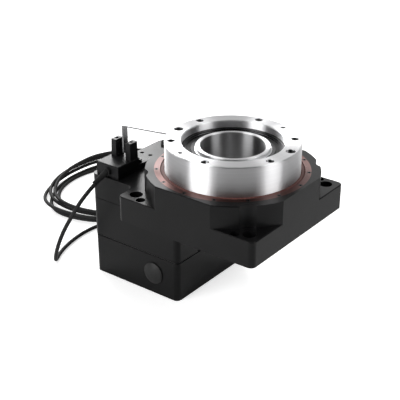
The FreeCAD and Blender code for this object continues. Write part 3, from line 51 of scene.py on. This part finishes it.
nodes = frame["nodes"]

# %% [markdown]
# A finish is more than a colour. Blasted castings carry a fine grain, turned faces carry
# rings left by the tool, and both break up a reflection a little. Image textures could
# show that, but patterns made by nodes stay sharp at any distance and need no file. An
# effect that several finishes use is one node group with its own inputs. The groups give
# out only masks and normals, and the shader itself stays in each material.

# %% Helpers that add, join and open nodes
def wire(tree, start, end):
    tree.links.new(start, end)


def add_node(tree, kind, **values):
    node = tree.nodes.new(kind)
    for name, value in values.items():
        setattr(node, name, value)
    return node


def open_group(name, inputs, outputs):
    tree = bpy.data.node_groups.new(name, "ShaderNodeTree")
    for label, default in inputs.items():
        made = tree.interface.new_socket(label, in_out="INPUT",
                                         socket_type="NodeSocketFloat")
        made.default_value = default
    for label, kind in outputs.items():
        tree.interface.new_socket(label, in_out="OUTPUT", socket_type="NodeSocket" + kind)
    return tree, add_node(tree, "NodeGroupInput"), add_node(tree, "NodeGroupOutput")


print("helpers: wire, add_node, open_group")

# %% [markdown]
# Blasting leaves thousands of small pits. Two noises stand for it: a fine one that moves
# the gloss and the normal, and a broad cloud that shifts the tone, as handling and uneven
# dye do. Both read Object coordinates, so the pattern stays on the piece when it turns.

# %% The grain of a blasted and anodised face
def grain_group():
    tree, inside, out = open_group(
        "Fine grain", {"Scale": 2500.0, "Depth": 0.2},
        {"Grain": "Float", "Cloud": "Float", "Normal": "Vector"})
    place = add_node(tree, "ShaderNodeTexCoord")
    fine = add_node(tree, "ShaderNodeTexNoise")
    fine.inputs["Detail"].default_value = 3.0
    broad = add_node(tree, "ShaderNodeTexNoise")
    broad.inputs["Scale"].default_value = 45.0
    broad.inputs["Detail"].default_value = 4.0
    bump = add_node(tree, "ShaderNodeBump")
    bump.inputs["Distance"].default_value = 0.06 * MM
    wire(tree, place.outputs["Object"], fine.inputs["Vector"])
    wire(tree, place.outputs["Object"], broad.inputs["Vector"])
    wire(tree, inside.outputs["Scale"], fine.inputs["Scale"])
    wire(tree, inside.outputs["Depth"], bump.inputs["Strength"])
    wire(tree, fine.outputs["Fac"], bump.inputs["Height"])
    wire(tree, fine.outputs["Fac"], out.inputs["Grain"])
    wire(tree, broad.outputs["Fac"], out.inputs["Cloud"])
    wire(tree, bump.outputs["Normal"], out.inputs["Normal"])
    return tree


GRAIN = grain_group()
print("effect:", GRAIN.name)

# %% [markdown]
# A lathe leaves marks that run round the axis. What stays the same along such a mark is
# the distance from the axis and the height, so these two numbers are all that a pattern
# of rings needs. The whole platform is built around the upright axis, and one helper
# takes both numbers from the Object coordinates for every effect that goes round it.

# %% A helper that reads the distance from the axis and the height
def round_the_axis(tree):
    place = add_node(tree, "ShaderNodeTexCoord")
    split = add_node(tree, "ShaderNodeSeparateXYZ")
    flat = add_node(tree, "ShaderNodeCombineXYZ")
    length = add_node(tree, "ShaderNodeVectorMath", operation="LENGTH")
    wire(tree, place.outputs["Object"], split.inputs["Vector"])
    wire(tree, split.outputs["X"], flat.inputs["X"])
    wire(tree, split.outputs["Y"], flat.inputs["Y"])
    wire(tree, flat.outputs["Vector"], length.inputs[0])
    return length.outputs["Value"], split.outputs["Z"]


print("helper: round_the_axis")


# %% The rings that a lathe leaves
def turned_group():
    tree, inside, out = open_group("Turned rings", {"Rings": 700.0, "Depth": 0.1},
                                   {"Rings mask": "Float", "Normal": "Vector"})
    distance, height = round_the_axis(tree)
    joined = add_node(tree, "ShaderNodeCombineXYZ")
    stretch = add_node(tree, "ShaderNodeVectorMath", operation="SCALE")
    rings = add_node(tree, "ShaderNodeTexNoise", noise_dimensions="3D")
    rings.inputs["Scale"].default_value = 1.0
    rings.inputs["Detail"].default_value = 4.0
    rings.inputs["Roughness"].default_value = 0.7
    bump = add_node(tree, "ShaderNodeBump")
    bump.inputs["Distance"].default_value = 0.05 * MM
    wire(tree, distance, joined.inputs["X"])
    wire(tree, height, joined.inputs["Z"])
    wire(tree, joined.outputs["Vector"], stretch.inputs[0])
    wire(tree, inside.outputs["Rings"], stretch.inputs["Scale"])
    wire(tree, stretch.outputs["Vector"], rings.inputs["Vector"])
    wire(tree, inside.outputs["Depth"], bump.inputs["Strength"])
    wire(tree, rings.outputs["Fac"], bump.inputs["Height"])
    wire(tree, rings.outputs["Fac"], out.inputs["Rings mask"])
    wire(tree, bump.outputs["Normal"], out.inputs["Normal"])
    return tree


TURNED = turned_group()
print("effect:", TURNED.name)

# %% [markdown]
# The walls deep inside the recess and the bore look much darker than the faces outside,
# which are polished, because they reflect hardly any of the bright studio. A second
# material on those faces could paint that shade, but each solid has one finish for its
# whole skin. So a mask that knows where the walls lie, by their distance from the axis and
# their height, paints the shade there by darkening the colour inside the same material.

# %% A mask for painted shade on the walls of bores and holes
def painted_shade_group():
    tree, inside, out = open_group("Painted shade inside walls", {"From": 0.0, "To": 0.0, "Below": 0.0},
                                   {"Mask": "Float"})
    distance, height = round_the_axis(tree)
    wide = add_node(tree, "ShaderNodeMath", operation="GREATER_THAN")
    narrow = add_node(tree, "ShaderNodeMath", operation="LESS_THAN")
    deep = add_node(tree, "ShaderNodeMath", operation="LESS_THAN")
    ring = add_node(tree, "ShaderNodeMath", operation="MULTIPLY")
    both = add_node(tree, "ShaderNodeMath", operation="MULTIPLY")
    wire(tree, distance, wide.inputs[0])
    wire(tree, inside.outputs["From"], wide.inputs[1])
    wire(tree, distance, narrow.inputs[0])
    wire(tree, inside.outputs["To"], narrow.inputs[1])
    wire(tree, height, deep.inputs[0])
    wire(tree, inside.outputs["Below"], deep.inputs[1])
    wire(tree, wide.outputs["Value"], ring.inputs[0])
    wire(tree, narrow.outputs["Value"], ring.inputs[1])
    wire(tree, ring.outputs["Value"], both.inputs[0])
    wire(tree, deep.outputs["Value"], both.inputs[1])
    wire(tree, both.outputs["Value"], out.inputs["Mask"])
    return tree


SHADE_MASK = painted_shade_group()
print("effect:", SHADE_MASK.name)

# %% [markdown]
# Every finish here starts the same way: two close tones mixed by a mask, and a roughness
# that a mask moves a little up and down. A single tone with a single roughness would look
# like moulded plastic on all of them. One helper makes that start, and the two kinds of
# finish then add what sets them apart.

# %% The start that all finishes share
TONES_FROM, TONES_TO = 0.3, 0.7


def two_toned(name, dark, light, rough, spread, metallic):
    material = bpy.data.materials.new(name)
    material.use_nodes = True
    tree = material.node_tree
    shader = tree.nodes["Principled BSDF"]
    shader.inputs["Metallic"].default_value = metallic
    tones = add_node(tree, "ShaderNodeValToRGB")
    first, last = tones.color_ramp.elements
    first.position = TONES_FROM
    first.color = (*dark, 1)
    last.position = TONES_TO
    last.color = (*light, 1)
    gloss = add_node(tree, "ShaderNodeMapRange")
    gloss.inputs["To Min"].default_value = rough - spread
    gloss.inputs["To Max"].default_value = rough + spread
    wire(tree, gloss.outputs["Result"], shader.inputs["Roughness"])
    return material, tree, shader, tones, gloss


print("helper: two_toned")

# %% [markdown]
# Anodised, oxidised and moulded black pieces are grained. They aren't bare metal, so most
# have no metallic share, and a low specular level keeps their edges from glowing where
# the light grazes them. The broad cloud mixes the tones and the fine grain moves the
# gloss.

# %% A finish that is grained
def grained(name, dark, light, rough, spread, scale, depth, metallic=0.0, level=0.25):
    material, tree, shader, tones, gloss = two_toned(name, dark, light, rough, spread,
                                                     metallic)
    shader.inputs["Specular IOR Level"].default_value = level
    effect = add_node(tree, "ShaderNodeGroup", node_tree=GRAIN)
    effect.inputs["Scale"].default_value = scale
    effect.inputs["Depth"].default_value = depth
    wire(tree, effect.outputs["Cloud"], tones.inputs["Fac"])
    wire(tree, effect.outputs["Grain"], gloss.inputs["Value"])
    wire(tree, tones.outputs["Color"], shader.inputs["Base Color"])
    wire(tree, effect.outputs["Normal"], shader.inputs["Normal"])
    return material


print("finish: grained")

# %% [markdown]
# Turned metal throws a lamp back as an upright streak, because its grooves spread the
# light along the axis only. Modelling the grooves would need millions of faces. The
# shader's own anisotropy does the same with a tangent that runs round the axis, and it
# wants a fairly high roughness, since with a low one the streak shrinks to a thin line.
# Each zone of painted shade is a wall from one distance to another, below a height, with
# the share of light that it keeps; its colour is darkened there to stand in for the shade.

# %% A finish that is turned on a lathe
QUARTER_TURN = 0.25


def turned(name, dark, light, rough, spread, rings, depth, metallic=1.0, brushed=0.0,
           painted_shade=()):
    material, tree, shader, tones, gloss = two_toned(name, dark, light, rough, spread,
                                                     metallic)
    if brushed:
        shader.inputs["Anisotropic"].default_value = brushed
        shader.inputs["Anisotropic Rotation"].default_value = QUARTER_TURN
        around = add_node(tree, "ShaderNodeTangent", direction_type="RADIAL", axis="Z")
        wire(tree, around.outputs["Tangent"], shader.inputs["Tangent"])
    effect = add_node(tree, "ShaderNodeGroup", node_tree=TURNED)
    effect.inputs["Rings"].default_value = rings
    effect.inputs["Depth"].default_value = depth
    wire(tree, effect.outputs["Rings mask"], tones.inputs["Fac"])
    wire(tree, effect.outputs["Rings mask"], gloss.inputs["Value"])
    colour = tones.outputs["Color"]
    # Painted shade: the colour of each deep wall is darkened by its share.
    for *limits, share in painted_shade:
        walls = add_node(tree, "ShaderNodeGroup", node_tree=SHADE_MASK)
        for socket, limit in zip(("From", "To", "Below"), limits):
            walls.inputs[socket].default_value = limit * MM
        darker = add_node(tree, "ShaderNodeMix", data_type="RGBA", blend_type="MULTIPLY")
        darker.inputs["B"].default_value = (share, share, share, 1)
        wire(tree, walls.outputs["Mask"], darker.inputs["Factor"])
        wire(tree, colour, darker.inputs["A"])
        colour = darker.outputs["Result"]
    wire(tree, colour, shader.inputs["Base Color"])
    wire(tree, effect.outputs["Normal"], shader.inputs["Normal"])
    return material


print("finish: turned")

# %% [markdown]
# Now the finishes themselves, one for each material slot of the solids. The black metals
# lie close together and differ in tone and gloss, as two castings from different makers
# would. The table and the sleeve are brushed to the full, the copper coloured ring nearly
# so, and the bearing steel is ground, which leaves no direction to see.

# %% The black finishes
FINISHES = {
    "black_casting": grained("Black anodised housing", (0.004, 0.004, 0.0043),
                             (0.0065, 0.0065, 0.0068), 0.34, 0.06, 2600, 0.25, 0.0, 0.2),
    "black_block": grained("Black anodised block", (0.0035, 0.0035, 0.0038),
                           (0.0055, 0.0055, 0.0058), 0.33, 0.06, 2600, 0.22, 0.0, 0.2),
    "cover_plate": grained("Black anodised plate", (0.024, 0.024, 0.025),
                           (0.032, 0.032, 0.034), 0.44, 0.06, 2200, 0.2),
    "black_screw": grained("Black oxide screws", (0.009, 0.009, 0.0095),
                           (0.022, 0.022, 0.023), 0.34, 0.06, 3500, 0.12, 0.5),
    "bearing_seal": grained("Black bearing seal", (0.006, 0.006, 0.006),
                            (0.010, 0.010, 0.010), 0.45, 0.06, 2000, 0.15),
    "plug_plastic": grained("Black plug plastic", (0.016, 0.016, 0.016),
                            (0.024, 0.024, 0.024), 0.46, 0.06, 1500, 0.2),
    "sensor_plastic": grained("Black sensor plastic", (0.006, 0.006, 0.0065),
                              (0.010, 0.010, 0.0105), 0.4, 0.07, 1400, 0.25, 0.0, 0.2),
    "lead_rubber": grained("Black lead jacket", (0.020, 0.020, 0.020),
                           (0.030, 0.030, 0.030), 0.5, 0.06, 1600, 0.2, 0.0, 0.06),
    "flag_screw": grained("Blackened screw", (0.012, 0.012, 0.012), (0.022, 0.022, 0.022),
                          0.35, 0.07, 3000, 0.12, 0.3),
}
print("black finishes:", len(FINISHES))

# %% The bright and the coloured finishes
FINISHES |= {
    # The lists at the end of the sleeve, bearing steel and table paint shade on their deep
    # walls.
    "sleeve_metal": turned("Polished sleeve", (0.72, 0.72, 0.73), (0.84, 0.84, 0.85),
                           0.40, 0.03, 2600, 0.03, 1.0, 1.0,
                           [(-1, 17.3, 38.9, 0.5), (20.2, 26.0, 50, 0.1)]),
    "bearing_steel": turned("Ground bearing steel", (0.55, 0.55, 0.57),
                            (0.68, 0.68, 0.70), 0.22, 0.06, 3000, 0.06,
                            1.0, 0.0, [(19.9, 26.1, 50, 0.1)]),
    "copper_ring": turned("Copper coloured ring", (0.085, 0.037, 0.033),
                          (0.12, 0.055, 0.049), 0.34, 0.05, 2400, 0.08, 0.9, 0.9),
    "seal_rubber": grained("Red brown seal", (0.12, 0.045, 0.038), (0.17, 0.065, 0.055),
                           0.5, 0.08, 1800, 0.2),
    "table_metal": turned("Turned and polished table", (0.80, 0.80, 0.81),
                          (0.90, 0.90, 0.91), 0.42, 0.03, 2400, 0.03, 1.0, 1.0,
                          [(29.75, 34.6, 41.6, 0.1), (20.0, 29.75, 38.2, 0.12)]),
    "gear_steel": turned("Ground gear steel", (0.48, 0.48, 0.49), (0.60, 0.60, 0.61),
                         0.28, 0.06, 2000, 0.1),
    "collar_steel": turned("Blackened steel collar", (0.06, 0.06, 0.065),
                           (0.10, 0.10, 0.105), 0.36, 0.06, 1800, 0.1),
    "flag_sheet": turned("Bright sheet metal", (0.20, 0.20, 0.205), (0.26, 0.26, 0.265),
                         0.24, 0.07, 1600, 0.08),
}
print("finishes:", len(FINISHES))

# %% [markdown]
# Each solid names the slot of its material in the record that comes with it. Reading the
# slot there, and not typing a list of pieces here, means that no piece can be forgotten.

# %% Put each finish on its solids
slots = {part["node"]: part["material_slot"] for part in frame["record"]["subparts"]}
for name, solid in nodes.items():
    solid.data.materials.clear()
    solid.data.materials.append(FINISHES[slots[name]])
print("dressed:", len(nodes))

# %% [markdown]
# The sensor's lead is a fixed length of thin, fairly limp cable. It leaves the sensor
# through its strain relief, sags past the corner of the block to the floor, and the rest
# lies in a loose coil behind. A cloth or rope simulation could drop it there, but would
# hardly land as the real one did. So its line is placed point by point: first the free
# run down to the floor, then the coil.

# %% The lead's route to the coil
LEAD = 2.2
FLOOR = -46.3
route = [(-61.9, -28.3, 17.2), (-63.0, -33.6, 14.6), (-66.6, -44.0, 5.4),
         (-71.2, -47.0, -4.0), (-77.4, -47.9, -14.4), (-83.4, -47.0, -24.8),
         (-89.4, -44.6, -35.4), (-95.8, -39.6, -45.2), (-101.8, -29.6, -45.2),
         (-106.0, -16.6, -45.2), (-108.0, -3.4, -45.2), (-107.0, 8.8, -45.2)]
print("free run points:", len(route))

# %% [markdown]
# The coil is an oval that was wound by hand, so its turns wander. The table gives, for a
# few places along the turns, how far a strand lies inside the outermost line and how high
# over the floor. It starts on the floor, climbs over itself at the far side, and ends on
# the floor inside the coil. Two strands are kept about one thickness apart, so that they
# lie on each other and don't pass through.

# %% The coil's oval and how its turns wander
COIL_CENTRE = (-127.2, 63.2)
COIL_LONG = 59.2 - LEAD / 2
COIL_SHORT = 46.2 - LEAD / 2
COIL_TILT = math.radians(71.3)
COIL_START = math.radians(-52.8)
TURNS = 5.2
# turn, distance in from the outermost line, height over the floor
lay = [(0.0, 0.0, 0.0), (0.12, 0.6, 0.0), (0.3, 1.0, 0.0), (0.45, 1.5, 0.0),
       (0.6, 2.0, 0.0), (0.66, 3.1, 0.0), (0.72, 3.8, 0.0), (0.76, 3.9, 0.0),
       (0.8, 2.2, 0.0), (0.84, -0.4, 0.0), (0.88, -0.8, 0.0), (0.92, -0.3, 0.0),
       (0.96, -0.8, 0.0), (1.0, 2.4, 0.0), (1.12, 3.0, 0.0), (1.24, 3.2, 0.2),
       (1.3, 3.2, 0.9), (1.38, 2.6, 2.3), (1.45, 1.8, 2.4), (1.6, -1.0, 2.3),
       (1.66, 0.6, 2.2), (1.72, -1.2, 0.2), (1.78, -2.4, 0.4), (1.84, -2.0, 2.3),
       (1.9, -0.2, 2.3), (1.96, -1.8, 2.3), (2.0, 1.2, 2.1), (2.12, 1.8, 2.1),
       (2.3, 0.9, 2.5), (2.38, 0.4, 3.5), (2.45, 0.5, 4.5), (2.6, -1.4, 4.6),
       (2.64, -0.3, 4.5), (2.68, -0.3, 4.2), (2.72, -0.4, 3.0), (2.75, 0.3, 2.4),
       (2.79, 1.8, 2.5), (2.82, 3.3, 2.0), (2.86, 6.3, 0.7), (2.9, 8.3, 0.0),
       (2.94, 8.1, 0.0), (3.0, 6.8, 0.0), (3.12, 5.5, 0.0), (3.25, 5.4, 0.0),
       (3.33, 5.4, 1.6), (3.38, 4.4, 3.8), (3.45, 2.3, 6.2), (3.55, -0.4, 6.9),
       (3.6, -1.2, 6.9), (3.65, 1.4, 6.6), (3.68, 2.0, 6.0), (3.72, 2.2, 4.1),
       (3.75, 3.3, 2.8), (3.78, 4.6, 2.8), (3.82, 5.4, 3.4), (3.86, 6.2, 3.4),
       (3.9, 7.6, 2.6), (3.94, 7.2, 2.4), (4.0, 5.0, 2.4), (4.12, 4.3, 2.2),
       (4.19, 4.6, 2.4), (4.24, 6.4, 2.7), (4.29, 8.2, 1.4), (4.35, 8.4, 0.0),
       (4.6, 7.2, 0.0), (4.66, 5.7, 0.0), (4.72, 6.2, 0.0), (4.77, 6.6, 0.0),
       (4.82, 7.4, 0.0), (4.86, 9.6, 0.0), (4.92, 10.8, 0.0), (5.0, 9.6, 0.0),
       (5.08, 8.6, 0.0), (TURNS, 8.0, 0.0)]
print("places along the coil:", len(lay))

# %% [markdown]
# Between two places of the table a strand has to glide, since a straight change would
# give the cable a kink. The share of the way is eased with the curve that starts and ends
# level, and the eased distance then shrinks the oval.

# %% Points along the coil
PER_TURN = 28


def between(turn):
    for (t0, r0, z0), (t1, r1, z1) in zip(lay, lay[1:]):
        if t0 <= turn <= t1 + 1e-9:
            share = (turn - t0) / (t1 - t0)
            share = share * share * (3 - 2 * share)
            return r0 + (r1 - r0) * share, z0 + (z1 - z0) * share
    return lay[-1][1:]


def coil_point(turn):
    inward, lift = between(turn)
    angle = COIL_START + 2 * math.pi * turn - COIL_TILT
    along = (COIL_LONG - inward) * math.cos(angle)
    across = (COIL_SHORT - inward) * math.sin(angle)
    x = COIL_CENTRE[0] + along * math.cos(COIL_TILT) - across * math.sin(COIL_TILT)
    y = COIL_CENTRE[1] + along * math.sin(COIL_TILT) + across * math.cos(COIL_TILT)
    return x, y, FLOOR + LEAD / 2 + lift


turns = [coil_point(step / PER_TURN) for step in range(int(TURNS * PER_TURN) + 1)]
path = route + turns
print("lead points:", len(path))

# %% [markdown]
# A cable is a line with a round section, and that is just what a curve with a bevel is.
# The same shape as a mesh would be hard to change later. A NURBS line of order 3 runs
# smoothly past its points without swinging out between them, and starts and ends exactly
# at the first and the last.

# %% Draw a round line through points
def round_line(name, points, radius, steps_along, steps_around):
    curve = bpy.data.curves.new(name, "CURVE")
    curve.dimensions = "3D"
    line = curve.splines.new("NURBS")
    line.points.add(len(points) - 1)
    for point, place in zip(line.points, points):
        point.co = (*(value * MM for value in place), 1)
    line.order_u = 3
    line.use_endpoint_u = True
    line.resolution_u = steps_along
    curve.bevel_depth = radius * MM
    curve.bevel_resolution = steps_around
    curve.use_fill_caps = True
    made = bpy.data.objects.new(name, curve)
    bpy.context.scene.collection.objects.link(made)
    return made


lead = round_line("lead_run", path, LEAD / 2, 8, 4)
lead.data.materials.append(FINISHES["lead_rubber"])
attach(lead, "base")
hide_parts("sensor_lead", "sensor_lead_coil")
print("drawn:", lead.name)

# %% [markdown]
# A real cable has one length, wherever it lies. It can't be read off the control points,
# because a NURBS line cuts its corners. A copy of the curve without its bevel is turned
# into a plain chain of short edges, whose sum would be the length.

# %% Turn a bare copy of the lead into a chain of edges
bare_curve = lead.data.copy()
bare_curve.bevel_depth = 0
probe = bpy.data.objects.new("probe", bare_curve)
bpy.context.scene.collection.objects.link(probe)
bpy.context.view_layer.update()
line_mesh = bpy.data.meshes.new_from_object(
    probe.evaluated_get(bpy.context.evaluated_depsgraph_get()))
bpy.data.objects.remove(probe)

# %% [markdown]
# The lead ends bare, ready to be wired. Its jacket is cut square, and four thin coloured
# leads fan out of it, each stripped to bright copper over its last few millimetres. They
# are drawn with the same helper as the lead, only thinner.

# %% A thin lead along a few points
CORE = 0.7
STRANDS = 0.4


def thin_lead(name, points, thickness, finish):
    made = round_line(name, [tuple(point) for point in points], thickness / 2, 6, 3)
    made.data.materials.append(finish)
    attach(made, "base")
    return made


print("helper: thin_lead")

# %% Colours of the thin leads, and where they start
copper = turned("Bright copper strands", (0.60, 0.26, 0.14), (0.74, 0.36, 0.20),
                0.32, 0.08, 4000, 0.2)
colours = {"brown": ((0.07, 0.025, 0.012), (0.10, 0.035, 0.018)),
           "blue": ((0.012, 0.05, 0.20), (0.018, 0.07, 0.27)),
           "black": ((0.010, 0.010, 0.010), (0.018, 0.018, 0.018)),
           "white": ((0.60, 0.60, 0.58), (0.70, 0.70, 0.68))}
foot = Vector(turns[-1])
ahead = (foot - Vector(turns[-2])).normalized()
side = ahead.cross(Vector((0, 0, 1)))
print("thin leads start at:", tuple(foot))

# %% [markdown]
# At the cut the four lie close together, two of them a little lower. From there each one
# falls to the floor and spreads to its own side, further the further it gets. The copper
# starts just inside the end of its sleeve, so that no gap shows.

# %% The four coloured leads
MIDDLE = (len(colours) - 1) / 2
PITCH_AT_CUT = 0.45
DROP_AT_CUT = 0.3
FAN = 0.9
for count, (colour, (dark, light)) in enumerate(colours.items()):
    spread = (count - MIDDLE) * FAN
    start = (foot + side * (count - MIDDLE) * PITCH_AT_CUT
             - Vector((0, 0, DROP_AT_CUT * (count % 2))))
    low = Vector((0, 0, FLOOR + CORE / 2 - start.z))
    points = [start,
              start + ahead * 3 + side * spread * 0.4 + low * 0.6,
              start + ahead * 7 + side * spread + low,
              start + ahead * 11 + side * spread * 1.9 + low]
    sleeve = grained("Thin lead " + colour, dark, light, 0.42, 0.05, 2600, 0.15)
    thin_lead("thin_lead_" + colour, points, CORE, sleeve)
    tip = points[-1]
    onward = (points[-1] - points[-2]).normalized()
    strands = [tip - onward * 0.4, tip + onward, tip + onward * 2.4]
    thin_lead("copper_strands_" + colour, strands, STRANDS, copper)
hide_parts("sensor_lead_end")

# %% [markdown]
# Whoever uses the platform may lay the lead another way. The coil is only the way in which
# it happens to lie here.

# %% [markdown]
# The studio has a floor of white paper that keeps the object's shadow. More lamps would
# whiten the paper but wash out the black casting too. So the paper glows a little, and
# only for rays that come from the camera, which leaves the light on the object alone.

# %% White paper
white = bpy.data.materials.new("White paper floor")
white.use_nodes = True
paper = white.node_tree
paper.nodes.clear()
sheet_out = add_node(paper, "ShaderNodeOutputMaterial")
lit = add_node(paper, "ShaderNodeBsdfDiffuse")
lit.inputs["Color"].default_value = (0.85, 0.85, 0.85, 1)
glow = add_node(paper, "ShaderNodeEmission")
glow.inputs["Strength"].default_value = 0.6
both = add_node(paper, "ShaderNodeAddShader")
seen_by_eye = add_node(paper, "ShaderNodeMixShader")
ray = add_node(paper, "ShaderNodeLightPath")
wire(paper, lit.outputs["BSDF"], both.inputs[0])
wire(paper, glow.outputs["Emission"], both.inputs[1])
wire(paper, ray.outputs["Is Camera Ray"], seen_by_eye.inputs["Fac"])
wire(paper, lit.outputs["BSDF"], seen_by_eye.inputs[1])
wire(paper, both.outputs["Shader"], seen_by_eye.inputs[2])
wire(paper, seen_by_eye.outputs["Shader"], sheet_out.inputs["Surface"])
print("paper:", white.name)

# %% Floor
JUST_UNDER = 0.05
bpy.ops.object.select_all(action="DESELECT")
bpy.ops.mesh.primitive_plane_add(size=8, location=(0, 0, (FLOOR - JUST_UNDER) * MM))
floor = bpy.context.object
floor.name = "floor"
floor.data.materials.append(white)
print("floor at:", round(floor.location.z, 5))

# %% [markdown]
# Bright metal shows what stands around it, and in an all white room it would turn to
# plain white. A studio has grey walls beside the lamps for that. Here the surround is
# white towards the backdrop and falls off to near black on the camera's side, by the
# angle to one direction, while the camera itself sees plain white behind the object.

# %% Surround
world = bpy.context.scene.world or bpy.data.worlds.new("Studio")
bpy.context.scene.world = world
world.use_nodes = True
sky = world.node_tree
sky.nodes.clear()
out = add_node(sky, "ShaderNodeOutputWorld")
seen = add_node(sky, "ShaderNodeBackground")
seen.inputs["Color"].default_value = (1, 1, 1, 1)
soft = add_node(sky, "ShaderNodeBackground")
mixer = add_node(sky, "ShaderNodeMixShader")
rays = add_node(sky, "ShaderNodeLightPath")
place = add_node(sky, "ShaderNodeTexCoord")
towards = add_node(sky, "ShaderNodeVectorMath", operation="DOT_PRODUCT")
backdrop = Vector((-0.52, 0.68, 0.52)).normalized()
towards.inputs[1].default_value = backdrop
bands = add_node(sky, "ShaderNodeValToRGB")
bands.color_ramp.interpolation = "EASE"
walls, paper_side = bands.color_ramp.elements
walls.position = 0.55
walls.color = (0.065, 0.065, 0.065, 1)
paper_side.position = 0.85
paper_side.color = (1, 1, 1, 1)
wire(sky, place.outputs["Generated"], towards.inputs[0])
wire(sky, towards.outputs["Value"], bands.inputs["Fac"])
wire(sky, bands.outputs["Color"], soft.inputs["Color"])
wire(sky, rays.outputs["Is Camera Ray"], mixer.inputs["Fac"])
wire(sky, soft.outputs["Background"], mixer.inputs[1])
wire(sky, seen.outputs["Background"], mixer.inputs[2])
wire(sky, mixer.outputs["Shader"], out.inputs["Surface"])
print("surround:", world.name)

# %% [markdown]
# Three softboxes stand round the platform. The left and the right one draw the two broad
# streaks on the table's side, and the small one at the back rims the sensor. Each is
# placed by its bearing and its height in degrees and faces the middle, which is easier to
# plan than coordinates and turns.

# %% Lamps
def lamp(name, bearing_and_height, distance, sides, power):
    bearing, height = (math.radians(value) for value in bearing_and_height)
    light = bpy.data.lights.new(name, "AREA")
    light.shape = "RECTANGLE"
    light.size = sides[0]
    light.size_y = sides[1]
    light.energy = power
    made = bpy.data.objects.new(name, light)
    bpy.context.scene.collection.objects.link(made)
    spot = Vector((math.cos(bearing) * math.cos(height),
                   math.sin(bearing) * math.cos(height), math.sin(height))) * distance
    made.location = spot
    made.rotation_euler = (-spot).to_track_quat("-Z", "Y").to_euler()
    return made


boxes = [lamp("left softbox", (-109, 24), 0.95, (0.56, 0.8), 6.8),
         lamp("right softbox", (12, 24), 0.95, (0.5, 0.8), 3.6),
         lamp("back left softbox", (147, 26), 0.7, (0.32, 0.4), 3.2)]
print("lamps:", [box.name for box in boxes])

# %% [markdown]
# The camera was fitted to the photograph, by the places of corners and circles in it. It
# looks at the middle of the platform and leans by one degree. A shift of the lens moves
# the picture in its frame without turning the camera, so the uprights keep the slant
# that they have in the photograph.

# %% Camera
eye = Vector((0.25619, -0.3616, 0.22524))
LEAN = math.radians(1.023)
look = -eye.normalized()
right = look.cross(Vector((0, 0, 1))).normalized()
up = right.cross(look)
right, up = (right * math.cos(LEAN) + up * math.sin(LEAN),
             up * math.cos(LEAN) - right * math.sin(LEAN))
aim = Matrix((right, up, -look)).transposed().to_4x4()
view = bpy.data.cameras.new("photo view")
view.lens = 84.18
view.sensor_width = 36
view.shift_x = -0.08005
view.shift_y = 0.03244
view.clip_start = 0.01
camera = bpy.data.objects.new("photo view", view)
bpy.context.scene.collection.objects.link(camera)
camera.matrix_world = Matrix.Translation(eye) @ aim
bpy.context.scene.camera = camera
bpy.context.scene.view_settings.view_transform = "Standard"
print("camera distance:", round(eye.length, 4))

# %% [markdown]
# At last the view layer is brought up to date.

# %% Update the view layer
bpy.context.view_layer.update()
